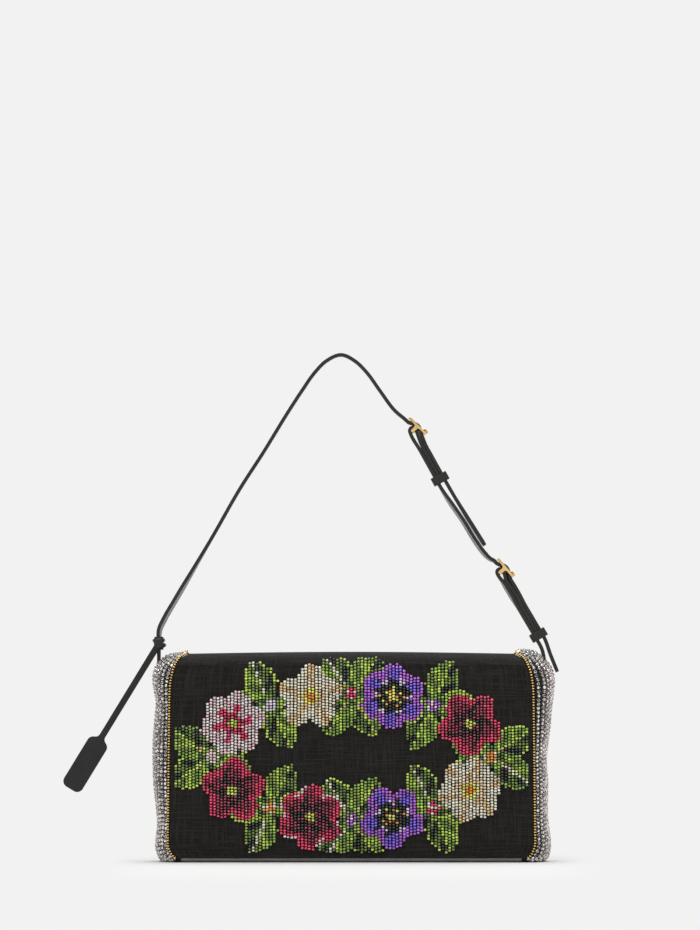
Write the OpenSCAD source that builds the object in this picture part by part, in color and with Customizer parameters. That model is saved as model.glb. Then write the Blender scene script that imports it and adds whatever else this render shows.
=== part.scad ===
// Shoulder bag with a beaded linen flap, crystal gussets and an adjustable leather strap.
// The front faces -Y, +Z is up, and the origin is the middle of the base on the ground.

/* [Bag body] */
// Width of the front and back panels
panel_w = 251; // [180:1:320]
// Height of the bag
bag_h = 145; // [100:1:200]
// Depth of the bag over its two panels
bag_d = 50; // [36:1:80]
// How far each gusset swells out past the panels
bulge_w = 15; // [8:0.5:22]
// Thickness of the front and back panels
panel_t = 2.4; // [1.6:0.1:4]
// Thickness of the gusset wall
gusset_t = 2.2; // [1.4:0.1:3.5]
// Thickness of the base board
base_t = 3; // [2:0.1:5]
// Depth of the front panel's edge below the bag's top
front_drop = 14; // [8:0.5:40]
// Thickness of the lining
lining_t = 0.8; // [0.5:0.1:1.5]
// Clearance between pieces that touch
gap = 0.3; // [0.2:0.05:0.5]

/* [Flap] */
// Thickness of the outer cloth of the flap
cloth_t = 1.5; // [1:0.1:2.5]
// Thickness of the lining of the flap
flap_lining_t = 0.9; // [0.6:0.1:1.6]
// Corner of the flap at the top, across
corner_top_w = 12; // [6:0.5:20]
// Corner of the flap at the top, downwards
corner_top_h = 23; // [10:0.5:32]
// Corner of the flap at the bottom, across
corner_foot_w = 9; // [4:0.5:16]
// Corner of the flap at the bottom, upwards
corner_foot_h = 12; // [5:0.5:20]
// Height of the flap's lower edge above the ground
flap_foot = 2.6; // [0.5:0.1:6]
// Diameter of a gold edging bead
bead_d = 1.9; // [1.4:0.1:2.6]
// Spacing of the columns of seed beads, as ribs across the garland
column_pitch = 2.42; // [2:0.02:3.2]
// Spacing of the rows of crystals, as ribs round the gussets
crystal_pitch = 2.8; // [2.4:0.05:3.6]
// Height of the beadwork on the cloth
beadwork_t = 1.5; // [0.8:0.1:2.2]

/* [Snap] */
// Diameter of the magnetic snap
snap_d = 18; // [12:0.5:20]
// Thickness of the snap's lower half
snap_t = 1.4; // [1:0.1:1.6]
// Diameter of the snap's stud
stud_d = 5; // [3:0.1:7]
// Height of the snap above the ground
snap_z = 46; // [25:1:90]

/* [Strap] */
// Width of the strap
strap_w = 10; // [7:0.5:14]
// Thickness of the strap
strap_t = 2.4; // [1.8:0.1:3]
// Height of the strap's top above its anchors
strap_rise = 218; // [160:1:290]
// How far each strap anchor stands out past the panels' edges
anchor_out = 8; // [4:0.5:11]
// Depth of the two anchors below the bag's top
anchor_depth = 12; // [10:0.5:16]
// Diameter of an anchor rivet
rivet_d = 2.4; // [1.6:0.1:3]
// Diameter of a rivet's head
rivet_head_d = 5; // [3.5:0.1:7]
// Thickness of a rivet's head
rivet_head_t = 0.8; // [0.5:0.1:1.2]

/* [Buckles and keepers] */
// Length of a buckle frame along the strap
buckle_l = 16.5; // [13:0.5:20]
// Thickness of a buckle frame
buckle_t = 1.6; // [1.2:0.1:2.2]
// Width of a rail of a buckle frame
rail_w = 1.7; // [1.2:0.1:2.5]
// Diameter of the buckle's bar
bar_d = 2; // [1.6:0.1:2.6]
// Drop from the frame's underside to the bar's axis
bar_drop = 3.8; // [3.4:0.1:5]
// Diameter of a prong
prong_d = 1.4; // [1:0.1:1.8]
// Length of a keeper along the strap
keeper_l = 6; // [4:0.5:9]
// Thickness of a keeper's leather
keeper_t = 1.8; // [1.2:0.1:2.4]

/* [Tag] */
// Width of the tag's strip
strip_w = 4.4; // [3:0.1:7]
// Length of the tag's strip
strip_l = 77.5; // [40:0.5:90]
// Width of the paddle
paddle_w = 15; // [10:0.5:24]
// Length of the paddle
paddle_l = 40; // [24:1:60]
// Thickness of the tag
tag_t = 2; // [1.4:0.1:3]
// Lean of the tag from the upright
tag_lean = 31.4; // [24:0.1:50]
// Height of the tag's loop along the strap
loop_h = 9; // [6:0.5:12]

/* [Pocket] */
// Width of the inner pocket
pocket_w = 110; // [60:1:150]
// Height of the inner pocket
pocket_h = 70; // [40:1:80]

/* [Hidden] */
overrun = bag_h;
half_w = panel_w / 2;
half_d = bag_d / 2;
front_h = bag_h - front_drop;
flap_t = cloth_t + flap_lining_t;
crown_z = bag_h - flap_t / 2;
back_fold_y = half_d - panel_t / 2;
front_fold_y = -half_d - gap - flap_t / 2;
top_half_w = half_w - corner_top_w;
foot_half_w = half_w - corner_foot_w;
hood_x = top_half_w + bead_d + gap;
anchor_x = half_w + anchor_out;
anchor_z = bag_h - anchor_depth;
running = 0.08;
curve_steps = 5;
corner_steps = 8;
layer_gap = 0.15;
layer = strap_t + layer_gap;
slot_gap = 0.6;
swing = 28;
cross_u = buckle_l / 2 - rail_w / 2;
bar_v = -buckle_t / 2 - bar_drop;
fold_r = bar_d / 2 + layer_gap + strap_t / 2;
under_v = -buckle_t / 2 - 2.5 * gap - strap_t / 2;
over_r = fold_r + layer + layer_gap;
loop_t = 1.5;
loop_lift = 13.4;
loop_z = anchor_z + loop_lift;
pin_z = loop_z + 0.45 * loop_h;
pin_r = 1.2;
eye_wall = 2;
eye_r = pin_r + running + eye_wall;
rivet_grip = 1.1;
ring_wall = 0.7;

// Shape of the right gusset seen from the front: shares of the swell and of the height
right_swell_shares = [
    [-0.6, 0.997], [-0.3, 0.996], [0.05, 0.99], [0.33, 0.974], [0.62, 0.945], [0.84, 0.9],
    [0.97, 0.84], [1, 0.77], [0.94, 0.66], [0.8, 0.52], [0.72, 0.38], [0.74, 0.22],
    [0.82, 0.1], [0.74, 0.035], [0.5, 0.004], [0.1, 0]
];
// Shape of the left gusset seen from the front, in the same shares
left_swell_shares = [
    [-0.6, 0.997], [-0.3, 0.996], [0.05, 0.99], [0.33, 0.975], [0.64, 0.945], [0.79, 0.91],
    [0.82, 0.87], [0.76, 0.82], [0.66, 0.765], [0.72, 0.69], [0.81, 0.56], [0.78, 0.39],
    [0.68, 0.29], [0.59, 0.186], [0.68, 0.081], [0.46, 0.015], [0.08, 0]
];
// Line of the long strap up to the first buckle: shares of half the span and of the rise
rise_shares = [
    [-1, 0], [-1, 0.03], [-1, 0.09], [-0.992, 0.124], [-0.969, 0.156], [-0.914, 0.22],
    [-0.824, 0.314], [-0.704, 0.44], [-0.584, 0.569], [-0.454, 0.693], [-0.326, 0.821],
    [-0.258, 0.885], [-0.186, 0.947], [-0.134, 0.979], [-0.052, 1], [0.021, 0.979],
    [0.075, 0.947], [0.15, 0.884], [0.228, 0.821]
];
// End of the long strap's tail, in the same shares
long_tail_shares = [[0.607, 0.477], [0.693, 0.393]];
// The middle strap between its keeper and the lower buckle, in the same shares
middle_shares = [[0.583, 0.468], [0.647, 0.404], [0.689, 0.369], [0.719, 0.351]];
// End of the middle strap's tail, in the same shares
middle_tail_shares = [[1.034, 0.046], [1.07, -0.009]];
// The chape below its keeper, down to the anchor, in the same shares
chape_shares = [[0.989, 0.064], [1, 0.034], [1, 0]];
// Places of the two buckles and the two keepers, in the same shares
upper_buckle_share = [0.344, 0.7734];
lower_buckle_share = [0.8, 0.322];
upper_keeper_share = [0.4607, 0.6055];
lower_keeper_share = [0.9715, 0.1083];
// Slopes of the buckles and of the strap at the keepers, in degrees below the level
upper_buckle_tilt = 44.5;
lower_buckle_tilt = 50;
upper_keeper_tilt = 61;
lower_keeper_tilt = 59.5;
// Angles round the bar at which the two upper layers leave it
upper_leave = 50;
lower_leave = 60;
// Straight length of strap before each keeper
upper_straight = 24;
lower_straight = 44;

function place(share) = [share.x * anchor_x, anchor_z + share.y * strap_rise];
function local(origin, tilt, u, v) =
    origin + [u * cos(tilt) + v * sin(tilt), v * cos(tilt) - u * sin(tilt)];
function upper(u, v) = local(place(upper_buckle_share), upper_buckle_tilt, u, v);
function lower(u, v) = local(place(lower_buckle_share), lower_buckle_tilt, u, v);
function upper_stack(u, v) = local(place(upper_keeper_share), upper_keeper_tilt, u, v);
function lower_stack(u, v) = local(place(lower_keeper_share), lower_keeper_tilt, u, v);

// Slope of a smooth line at one of its points, weighted by the distances to its neighbours
function unit(v) = v / norm(v);
function slope(p, i) =
    i == 0 ? unit(p[1] - p[0]) :
    i == len(p) - 1 ? unit(p[i] - p[i - 1]) :
    let (a = norm(p[i] - p[i - 1]), b = norm(p[i + 1] - p[i]))
    (unit(p[i] - p[i - 1]) * b + unit(p[i + 1] - p[i]) * a) / (a + b);
function between(p, q, m, n, s) =
    (2 * s ^ 3 - 3 * s ^ 2 + 1) * p + (s ^ 3 - 2 * s ^ 2 + s) * norm(q - p) * m +
    (3 * s ^ 2 - 2 * s ^ 3) * q + (s ^ 3 - s ^ 2) * norm(q - p) * n;
function smooth(p, steps) = concat(
    [for (i = [0 : len(p) - 2], k = [0 : steps - 1])
        between(p[i], p[i + 1], slope(p, i), slope(p, i + 1), k / steps)],
    [p[len(p) - 1]]
);

// Both faces of a band of thickness t along a line
function side(p, i) =
    let (d = unit(p[min(i + 1, len(p) - 1)] - p[max(i - 1, 0)])) [-d.y, d.x];
function band(p, t) = concat(
    [for (i = [0 : len(p) - 1]) p[i] + side(p, i) * t / 2],
    [for (i = [len(p) - 1 : -1 : 0]) p[i] - side(p, i) * t / 2]
);

// Points round a buckle's bar, from one angle to another
function turn(r, from, to, steps) =
    [for (k = [0 : steps]) let (a = from + (to - from) * k / steps) [r * cos(a), bar_v + r * sin(a)]];

// Places along a straight stack of layers, close together where it starts
function stack_places(straight, end) =
    [-straight, -0.86 * straight, -straight / 2, 0, end];
function folded_places(straight) =
    [keeper_l / 3, -straight / 2, -0.86 * straight, -straight];

long_line = concat(
    [for (s = rise_shares) place(s)],
    [for (u = [-cross_u - rail_w / 2, -cross_u + rail_w / 2]) upper(u, under_v)],
    [for (q = turn(over_r, 100, upper_leave, 2)) upper(q.x, q.y)],
    [for (u = stack_places(upper_straight, keeper_l)) upper_stack(u, layer)],
    [for (s = long_tail_shares) place(s)]
);
middle_line = concat(
    [for (u = folded_places(upper_straight)) upper_stack(u, 0)],
    [for (q = turn(fold_r, upper_leave, 270 + upper_buckle_tilt - upper_keeper_tilt, 8))
        upper(q.x, q.y)],
    [for (u = stack_places(upper_straight, keeper_l)) upper_stack(u, -layer)],
    [for (s = middle_shares) place(s)],
    [for (u = [-cross_u - rail_w / 2, -cross_u + rail_w / 2]) lower(u, under_v)],
    [for (q = turn(over_r, 100, lower_leave, 2)) lower(q.x, q.y)],
    [for (u = stack_places(lower_straight, keeper_l / 2)) lower_stack(u, layer)],
    [for (s = middle_tail_shares) place(s)]
);
chape_line = concat(
    [for (u = folded_places(lower_straight)) lower_stack(u, 0)],
    [for (q = turn(fold_r, lower_leave, 270 + lower_buckle_tilt - lower_keeper_tilt, 8))
        lower(q.x, q.y)],
    [for (u = stack_places(lower_straight, keeper_l / 2)) lower_stack(u, -layer)],
    [for (s = chape_shares) place(s)]
);

// Outline of a panel seen from the front: straight sides with a quarter ellipse at each corner
function quarter(x, z, rx, rz, a) =
    [for (k = [0 : corner_steps])
        [x + rx * cos(a + 90 * k / corner_steps), z + rz * sin(a + 90 * k / corner_steps)]];
function flap_right(grow) = concat(
    quarter(half_w - corner_foot_w, flap_foot + corner_foot_h,
        corner_foot_w + grow, corner_foot_h + grow, -90),
    quarter(half_w - corner_top_w, crown_z - corner_top_h,
        corner_top_w + grow, corner_top_h + grow, 0)
);
function mirrored(p) = [for (i = [len(p) - 1 : -1 : 0]) [-p[i].x, p[i].y]];

module flap_outline(grow) {
    polygon(concat(flap_right(grow), mirrored(flap_right(grow))));
}

// A flat outline in X and Z, made y_thick deep about the plane y
module upright(y, y_thick) {
    translate([0, y, 0])
        rotate([90, 0, 0])
            linear_extrude(height = y_thick, center = true)
                children();
}

// Section of the bag seen from above, drawn in by inset all round
swell_r = (half_d ^ 2 + bulge_w ^ 2) / (2 * bulge_w);
swell_x = half_w + bulge_w - swell_r;
rib_h = 0.35 * crystal_pitch;
swell_turn = asin(half_d / swell_r);
rib_count = round(2 * swell_turn / 360 * 2 * PI * swell_r / crystal_pitch);
module ribbed_swell(inset) {
    steps = [0 : 2 * rib_count];
    polygon([for (k = steps)
        let (a = swell_turn * (k / rib_count - 1),
            r = swell_r - inset - (inset > 0 || k % 2 == 1 ? 0 : rib_h))
        r * [cos(a), sin(a)]]);
}
module plan(inset) {
    square([2 * half_w, bag_d - 2 * inset], center = true);
    for (s = [0, 180])
        rotate(s)
            intersection() {
                translate([swell_x, 0])
                    ribbed_swell(inset);
                translate([half_w, 0])
                    square([2 * bulge_w, bag_d - 2 * inset], center = true);
            }
}

// Front view of a gusset, from the shares of its swell, drawn in by inset
function swell(shares, inset) =
    [for (q = smooth([for (s = shares) [
            half_w + s.x * bulge_w - (s.x > 0.1 ? inset : 0),
            s.y * (bag_h - 2 * inset) + inset]], 3)) q];
module swell_view(shares, inset, inner_x) {
    line = swell(shares, inset);
    last = line[len(line) - 1];
    polygon(concat(line, [[inner_x, last.y], [inner_x, line[0].y]]));
}

module panel_outline(h) {
    intersection() {
        translate([-half_w, 0])
            square([panel_w, h]);
        flap_outline(0);
    }
}

module back_panel() {
    color("#1d1c1b") {
        upright(back_fold_y, panel_t) panel_outline(crown_z);
        translate([0, back_fold_y, crown_z])
            rotate([0, 90, 0])
                cylinder(d = panel_t, h = 2 * top_half_w, center = true, $fn = 32);
    }
}

module front_panel() {
    color("#1d1c1b")
        difference() {
            upright(-back_fold_y, panel_t) panel_outline(front_h);
            translate([0, -half_d, snap_z])
                rotate([-90, 0, 0])
                    translate([0, 0, -gap])
                        cylinder(d = snap_d + 2 * gap, h = snap_t + 2 * gap, $fn = 64);
        }
}

module base_panel() {
    color("#1d1c1b")
        translate([0, 0, base_t / 2])
            cube([2 * (foot_half_w - gap), bag_d - 2 * panel_t - 2 * gap, base_t],
                center = true);
}

module gusset(shares, side) {
    slot_y = strap_w / 2 / cos(swing) + anchor_depth * tan(swing);
    difference() {
        intersection() {
            linear_extrude(height = bag_h)
                plan(0);
            mirror([side < 0 ? 1 : 0, 0, 0])
                upright(0, 2 * bag_d) swell_view(shares, 0, hood_x);
        }
        intersection() {
            linear_extrude(height = bag_h)
                plan(gusset_t);
            mirror([side < 0 ? 1 : 0, 0, 0])
                upright(0, 2 * bag_d) swell_view(shares, gusset_t, half_w / 2);
        }
        upright(0, 2 * bag_d) {
            flap_outline(gap);
            translate([-foot_half_w, -flap_foot])
                square([2 * foot_half_w, bag_h / 2]);
        }
        translate([side * anchor_x, 0, bag_h])
            cube([strap_t + 2 * slot_gap, 2 * slot_y, 2 * (anchor_depth + strap_w / 2 + gap)],
                center = true);
        translate([side * anchor_x, 0, anchor_z])
            rotate([0, side * 90, 0])
                cylinder(d = rivet_d + 2 * running, h = bulge_w, $fn = 32);
        translate([side * anchor_x, 0, anchor_z])
            rotate([0, side * -90, 0])
                cylinder(d = rivet_head_d + 2 * gap, h = strap_t / 2 + rivet_head_t + 2 * gap,
                    $fn = 48);
    }
}

module gusset_left() {
    color("#a9a39f") gusset(left_swell_shares, -1);
}

module gusset_right() {
    color("#a9a39f") gusset(right_swell_shares, 1);
}

module lining_solid(inset, floor_z, top_z) {
    translate([0, 0, floor_z])
        linear_extrude(height = top_z - floor_z)
            square([2 * (half_w - gap - inset), bag_d - 2 * (panel_t + gap + inset)],
                center = true);
}

lining_top = front_h - 2 * gap;
module lining() {
    color("#3a2f2c")
        difference() {
            lining_solid(0, base_t + gap, lining_top);
            lining_solid(lining_t, base_t + gap + lining_t, lining_top + overrun);
        }
}

pocket_y = half_d - panel_t - 2 * gap - lining_t;
pocket_z = base_t + 0.25 * (bag_h - base_t);
module inner_pocket() {
    color("#332926")
        translate([0, pocket_y - lining_t / 2, pocket_z + pocket_h / 2])
            cube([pocket_w, lining_t, pocket_h], center = true);
}

module snap_socket() {
    color("#c9a25a")
        translate([0, -half_d, snap_z])
            rotate([-90, 0, 0])
                difference() {
                    cylinder(d = snap_d, h = snap_t, $fn = 64);
                    translate([0, 0, -gap])
                        cylinder(d = 1.25 * stud_d, h = snap_t, $fn = 48);
                }
}

lining_y = -half_d - gap;
module snap_stud() {
    color("#c9a25a")
        translate([0, lining_y, snap_z])
            rotate([90, 0, 0]) {
                cylinder(d = snap_d, h = flap_lining_t, $fn = 64);
                translate([0, 0, -gap - snap_t / 2])
                    cylinder(d = stud_d, h = gap + snap_t / 2 + flap_lining_t / 2, $fn = 48);
            }
}

module anchor_rivet(side) {
    inner = strap_t / 2 + gap;
    color("#c9a25a")
        translate([side * anchor_x, 0, anchor_z])
            rotate([0, side * 90, 0]) {
                translate([0, 0, -inner - rivet_head_t])
                    cylinder(d = rivet_head_d, h = rivet_head_t, $fn = 48);
                translate([0, 0, -inner - rivet_head_t / 2])
                    cylinder(d = rivet_d, h = 2 * inner + rivet_head_t + rivet_grip, $fn = 32);
            }
}

module anchor_rivet_left() {
    anchor_rivet(-1);
}

module anchor_rivet_right() {
    anchor_rivet(1);
}

// The flap's top folds on a line at the back and on a line at the front
module fold_room(y) {
    translate([0, y, crown_z])
        rotate([0, 90, 0])
            cylinder(d = flap_t + 2 * gap, h = panel_w, center = true, $fn = 48);
}

module top_slab(low_z, high_z) {
    difference() {
        translate([-top_half_w, front_fold_y, low_z])
            cube([2 * top_half_w, back_fold_y - front_fold_y, high_z - low_z]);
        for (y = [back_fold_y, front_fold_y]) {
            fold_room(y);
            translate([0, y, crown_z - flap_t / 2])
                cube([panel_w, flap_t + 2 * gap, flap_t], center = true);
        }
    }
}

module flap_top() {
    color("#1f1e1c") top_slab(bag_h - cloth_t, bag_h);
}

module flap_top_lining() {
    color("#2a2826") top_slab(bag_h - flap_t, bag_h - cloth_t);
}

cloth_y = front_fold_y - flap_t / 2 + cloth_t / 2;
inner_y = front_fold_y + flap_t / 2 - flap_lining_t / 2;
module flap_front() {
    color("#1f1e1c") {
        upright(cloth_y, cloth_t) flap_outline(0);
        translate([0, front_fold_y, crown_z])
            rotate([0, 90, 0])
                cylinder(d = flap_t, h = 2 * top_half_w, center = true, $fn = 32);
    }
}

module flap_lining() {
    color("#2a2826")
        difference() {
            upright(inner_y, flap_lining_t)
                difference() {
                    flap_outline(0);
                    translate([-panel_w, crown_z - flap_t / 2])
                        square([2 * panel_w, flap_t]);
                }
            translate([0, lining_y + gap, snap_z])
                rotate([90, 0, 0])
                    cylinder(d = snap_d + gap, h = flap_lining_t + 2 * gap, $fn = 64);
        }
}

// One row of beads beside the flap's edge, as a scalloped strip
function walk(p) = [for (i = 0, s = 0; i < len(p); s = s + (i < len(p) - 1 ? norm(p[i + 1] - p[i]) : 0),
    i = i + 1) s];
function at_length(p, w, s) =
    let (i = max([for (k = [0 : len(p) - 2]) w[k] <= s ? k : 0]))
    p[i] + (p[i + 1] - p[i]) * (s - w[i]) / (w[i + 1] - w[i]);
module bead_row(p) {
    w = walk(p);
    total = w[len(w) - 1];
    count = floor(total / bead_d / 2);
    steps = [for (k = [0 : 4 * count]) k];
    centre = [for (k = steps) at_length(p, w, min(total - gap / 100, total * k / (4 * count)))];
    thick = [for (k = steps) bead_d * (k % 4 == 2 ? 1 : k % 4 == 0 ? 0.6 : 0.9)];
    polygon(concat(
        [for (k = steps) centre[k] + side(centre, k) * thick[k] / 2],
        [for (k = [4 * count : -1 : 0]) centre[k] - side(centre, k) * thick[k] / 2]
    ));
}

// The row runs from partway round the lower corner up to the fold
row_line = [for (i = [3 : 2 * corner_steps + 1]) flap_right(gap / 2 + bead_d / 2)[i]];
module gold_edge(side) {
    mirror([side < 0 ? 1 : 0, 0, 0])
        upright(cloth_y, cloth_t)
            difference() {
                bead_row(row_line);
                translate([0, crown_z])
                    square([panel_w, flap_t]);
            }
}

module gold_edge_top() {
    row_x = top_half_w + gap / 2 + bead_d / 2;
    color("#c79a4b")
        for (s = [-1, 1])
            translate([0, 0, bag_h - cloth_t])
                linear_extrude(height = cloth_t)
                    bead_row([[s * row_x, front_fold_y + bead_d], [s * row_x, 0],
                        [s * row_x, back_fold_y - bead_d]]);
}

module gold_edge_left() {
    color("#c79a4b") gold_edge(-1);
}

module gold_edge_right() {
    color("#c79a4b") gold_edge(1);
}

// The garland: blossoms and leaves at even steps round an oval ring
ring_w = 0.77 * half_w;
ring_h = 0.3 * bag_h;
ring_z = 0.5 * bag_h;
bloom_count = 10;
bloom_r = 0.175 * half_w;
bud_r = 0.38 * bloom_r;
leaf_l = 1.15 * bloom_r;
ring_line = [for (a = [0 : 5 : 360]) [ring_w * cos(a), ring_z + ring_h * sin(a)]];
ring_walk = walk(ring_line);
function ring(share) = at_length(ring_line, ring_walk, share * ring_walk[len(ring_walk) - 1]);
function ring_turn(share) = let (q = ring(share)) atan2(q.y - ring_z, q.x);
function bloom(r, petals, depth) =
    [for (k = [0 : 4 * petals - 1])
        let (a = 90 * k / petals) r * (1 - depth * (k % 4 == 0 ? 1 : k % 4 == 2 ? 0 : 0.25)) *
            [cos(a), sin(a)]];
function leaf(l, w) = concat(
    [for (k = [0 : 5]) [l * k / 5, w * sin(180 * k / 5)]],
    [for (k = [4 : -1 : 1]) [l * k / 5, -w * sin(180 * k / 5)]]
);

module garland_flat() {
    for (k = [0 : bloom_count - 1]) {
        here = (k + 0.5) / bloom_count;
        translate(ring(here))
            rotate(ring_turn(here))
                polygon(bloom(bloom_r, k % 2 == 0 ? 5 : 6, k % 2 == 0 ? 0.3 : 0.18));
        there = k / bloom_count;
        translate(ring(there)) {
            circle(r = bud_r, $fn = 16);
            for (t = [0, 180])
                rotate(ring_turn(there) + t)
                    polygon(leaf(leaf_l, leaf_l / 3.2));
        }
    }
}

// The columns of beads, seen from above: a rib for each, half as deep as the beads are thick
column_count = 2 * floor(half_w / column_pitch);
module bead_columns() {
    face_y = front_fold_y - flap_t / 2;
    linear_extrude(height = bag_h)
        polygon(concat(
            [for (k = [0 : 2 * column_count])
                [(k - column_count) * column_pitch / 2,
                    face_y - beadwork_t * (k % 2 == 0 ? 0.45 : 1)]],
            [[column_count * column_pitch / 2, face_y], [-column_count * column_pitch / 2, face_y]]
        ));
}

module beadwork() {
    color("#7d9a3c")
        intersection() {
            upright(front_fold_y - flap_t / 2 - beadwork_t / 2, 2 * beadwork_t) garland_flat();
            bead_columns();
        }
}

module strap_band(line) {
    upright(0, strap_w) polygon(band(smooth(line, curve_steps), strap_t));
}

module strap_foot(side) {
    translate([side * anchor_x, 0, anchor_z])
        rotate([0, 90, 0])
            cylinder(d = strap_w, h = strap_t, center = true, $fn = 48);
}

module foot_hole(side) {
    translate([side * anchor_x, 0, anchor_z])
        rotate([0, 90, 0])
            cylinder(d = rivet_d + 2 * running, h = 3 * strap_t, center = true, $fn = 32);
}

module at_frame(share, tilt) {
    translate([share.x * anchor_x, 0, anchor_z + share.y * strap_rise])
        rotate([0, tilt, 0])
            children();
}

prong_slot = prong_d + 4 * gap;
// Slot in the upper strap where the prong comes through
module strap_slot() {
    translate([cross_u / 2, 0, under_v + layer / 2])
        cube([0.7 * cross_u, prong_slot, 4 * strap_t], center = true);
}

// Slot in a folded strap where the prong's eye sits on the bar
module fold_slot() {
    translate([0, 0, bar_v])
        cube([2 * (fold_r + strap_t) + 2 * gap, prong_slot + 2 * gap,
            2 * (fold_r + strap_t)], center = true);
}

module strap_long() {
    color("#171615")
        difference() {
            union() {
                strap_band(long_line);
                strap_foot(-1);
            }
            foot_hole(-1);
            at_frame(upper_buckle_share, upper_buckle_tilt) strap_slot();
        }
}

module strap_middle() {
    color("#171615")
        difference() {
            strap_band(middle_line);
            at_frame(upper_buckle_share, upper_buckle_tilt) fold_slot();
            at_frame(lower_buckle_share, lower_buckle_tilt) strap_slot();
        }
}

module strap_chape() {
    color("#171615")
        difference() {
            union() {
                strap_band(chape_line);
                strap_foot(1);
            }
            foot_hole(1);
            at_frame(lower_buckle_share, lower_buckle_tilt) fold_slot();
        }
}

// A buckle in profile is a T: a flat frame with a stem down to the bar
frame_y = strap_w / 2 + gap + rail_w / 2;
stem_w = 2.4 * bar_d;
module frame_profile() {
    polygon([
        [-buckle_l / 2, -buckle_t / 2], [-stem_w / 2, -buckle_t / 2],
        [-0.62 * bar_d, -buckle_t], [-0.6 * bar_d, bar_v - 0.4 * bar_d],
        [-0.3 * bar_d, bar_v - 0.7 * bar_d], [0.3 * bar_d, bar_v - 0.7 * bar_d],
        [0.6 * bar_d, bar_v - 0.4 * bar_d], [0.62 * bar_d, -buckle_t],
        [stem_w / 2, -buckle_t / 2], [buckle_l / 2, -buckle_t / 2],
        [buckle_l / 2, 0.2 * buckle_t], [cross_u, buckle_t / 2],
        [-cross_u, buckle_t / 2], [-buckle_l / 2, 0.2 * buckle_t]
    ]);
}

module end_rail(side) {
    translate([side * cross_u, 0, 0])
        rotate([90, 0, 0])
            linear_extrude(height = 2 * frame_y, center = true)
                square([rail_w, buckle_t], center = true);
}

module buckle_frame() {
    color("#c9983f") {
        for (s = [-1, 1])
            upright(s * frame_y, rail_w) frame_profile();
        for (s = [-1, 1])
            end_rail(s);
        translate([0, 0, bar_v])
            rotate([90, 0, 0])
                cylinder(d = bar_d, h = 2 * frame_y, center = true, $fn = 32);
    }
}

module buckle_frame_upper() {
    at_frame(upper_buckle_share, upper_buckle_tilt) buckle_frame();
}

module buckle_frame_lower() {
    at_frame(lower_buckle_share, lower_buckle_tilt) buckle_frame();
}

// The prong turns on the bar, rises through the strap and rests on the far end of the frame
module buckle_prong() {
    top = buckle_t / 2 + prong_d / 2 + gap / 2;
    knee = [cross_u - rail_w / 2 - prong_d, top];
    lean = atan2(knee.x, top - bar_v);
    color("#d3a850")
        difference() {
            union() {
                translate([0, 0, bar_v])
                    rotate([90, 0, 0])
                        cylinder(d = bar_d + 2 * running + 2 * ring_wall, h = prong_d,
                            center = true, $fn = 32);
                translate([0, 0, bar_v])
                    rotate([0, lean, 0])
                        cylinder(d = prong_d, h = norm([knee.x, top - bar_v]), $fn = 24);
                translate([knee.x, 0, knee.y])
                    sphere(d = prong_d, $fn = 24);
                translate([knee.x, 0, knee.y])
                    rotate([0, 90, 0])
                        cylinder(d = prong_d, h = prong_d + rail_w, $fn = 24);
            }
            translate([0, 0, bar_v])
                rotate([90, 0, 0])
                    cylinder(d = bar_d + 2 * running, h = 3 * prong_d, center = true, $fn = 32);
        }
}

module buckle_prong_upper() {
    at_frame(upper_buckle_share, upper_buckle_tilt) buckle_prong();
}

module buckle_prong_lower() {
    at_frame(lower_buckle_share, lower_buckle_tilt) buckle_prong();
}

// A keeper is a flat leather loop round the three layers of strap
module keeper() {
    inner_v = 2 * layer + strap_t + 2 * gap;
    inner_y = strap_w + 2 * gap;
    color("#1c1b1a")
        rotate([0, 90, 0])
            linear_extrude(height = keeper_l, center = true)
                difference() {
                    square([inner_v + 2 * keeper_t, inner_y + 2 * keeper_t], center = true);
                    square([inner_v, inner_y], center = true);
                }
}

module keeper_upper() {
    at_frame(upper_keeper_share, upper_keeper_tilt) keeper();
}

module keeper_lower() {
    at_frame(lower_keeper_share, lower_keeper_tilt) keeper();
}

// The tag's loop is knotted round the foot of the strap, with a knot in front that the tag hangs on
loop_y = strap_w / 2 + gap + loop_t;
tag_y = -loop_y - gap - tag_t / 2;
module tag_loop() {
    color("#1c1b1a") {
        translate([-anchor_x, 0, loop_z])
            linear_extrude(height = loop_h)
                difference() {
                    square([strap_t + 2 * (gap + loop_t), 2 * loop_y], center = true);
                    square([strap_t + 2 * gap, strap_w + 2 * gap], center = true);
                }
        translate([-anchor_x, -loop_y + loop_t / 2, pin_z])
            rotate([90, 0, 0]) {
                cylinder(r = pin_r, h = loop_t / 2 + tag_t + 2 * gap + loop_t / 2, $fn = 32);
                translate([0, 0, loop_t / 2 + tag_t + 2 * gap])
                    cylinder(r = eye_r - gap, h = 0.8 * loop_t, $fn = 48);
            }
    }
}

module hang_tag() {
    color("#1a1918")
        translate([-anchor_x, tag_y, pin_z])
            rotate([0, tag_lean, 0])
                rotate([90, 0, 0])
                    linear_extrude(height = tag_t, center = true)
                        difference() {
                            union() {
                                circle(r = eye_r, $fn = 48);
                                translate([-strip_w / 2, -strip_l])
                                    square([strip_w, strip_l]);
                                translate([0, -strip_l - paddle_l / 2])
                                    paddle();
                            }
                            circle(r = pin_r + running, $fn = 32);
                        }
}

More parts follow.
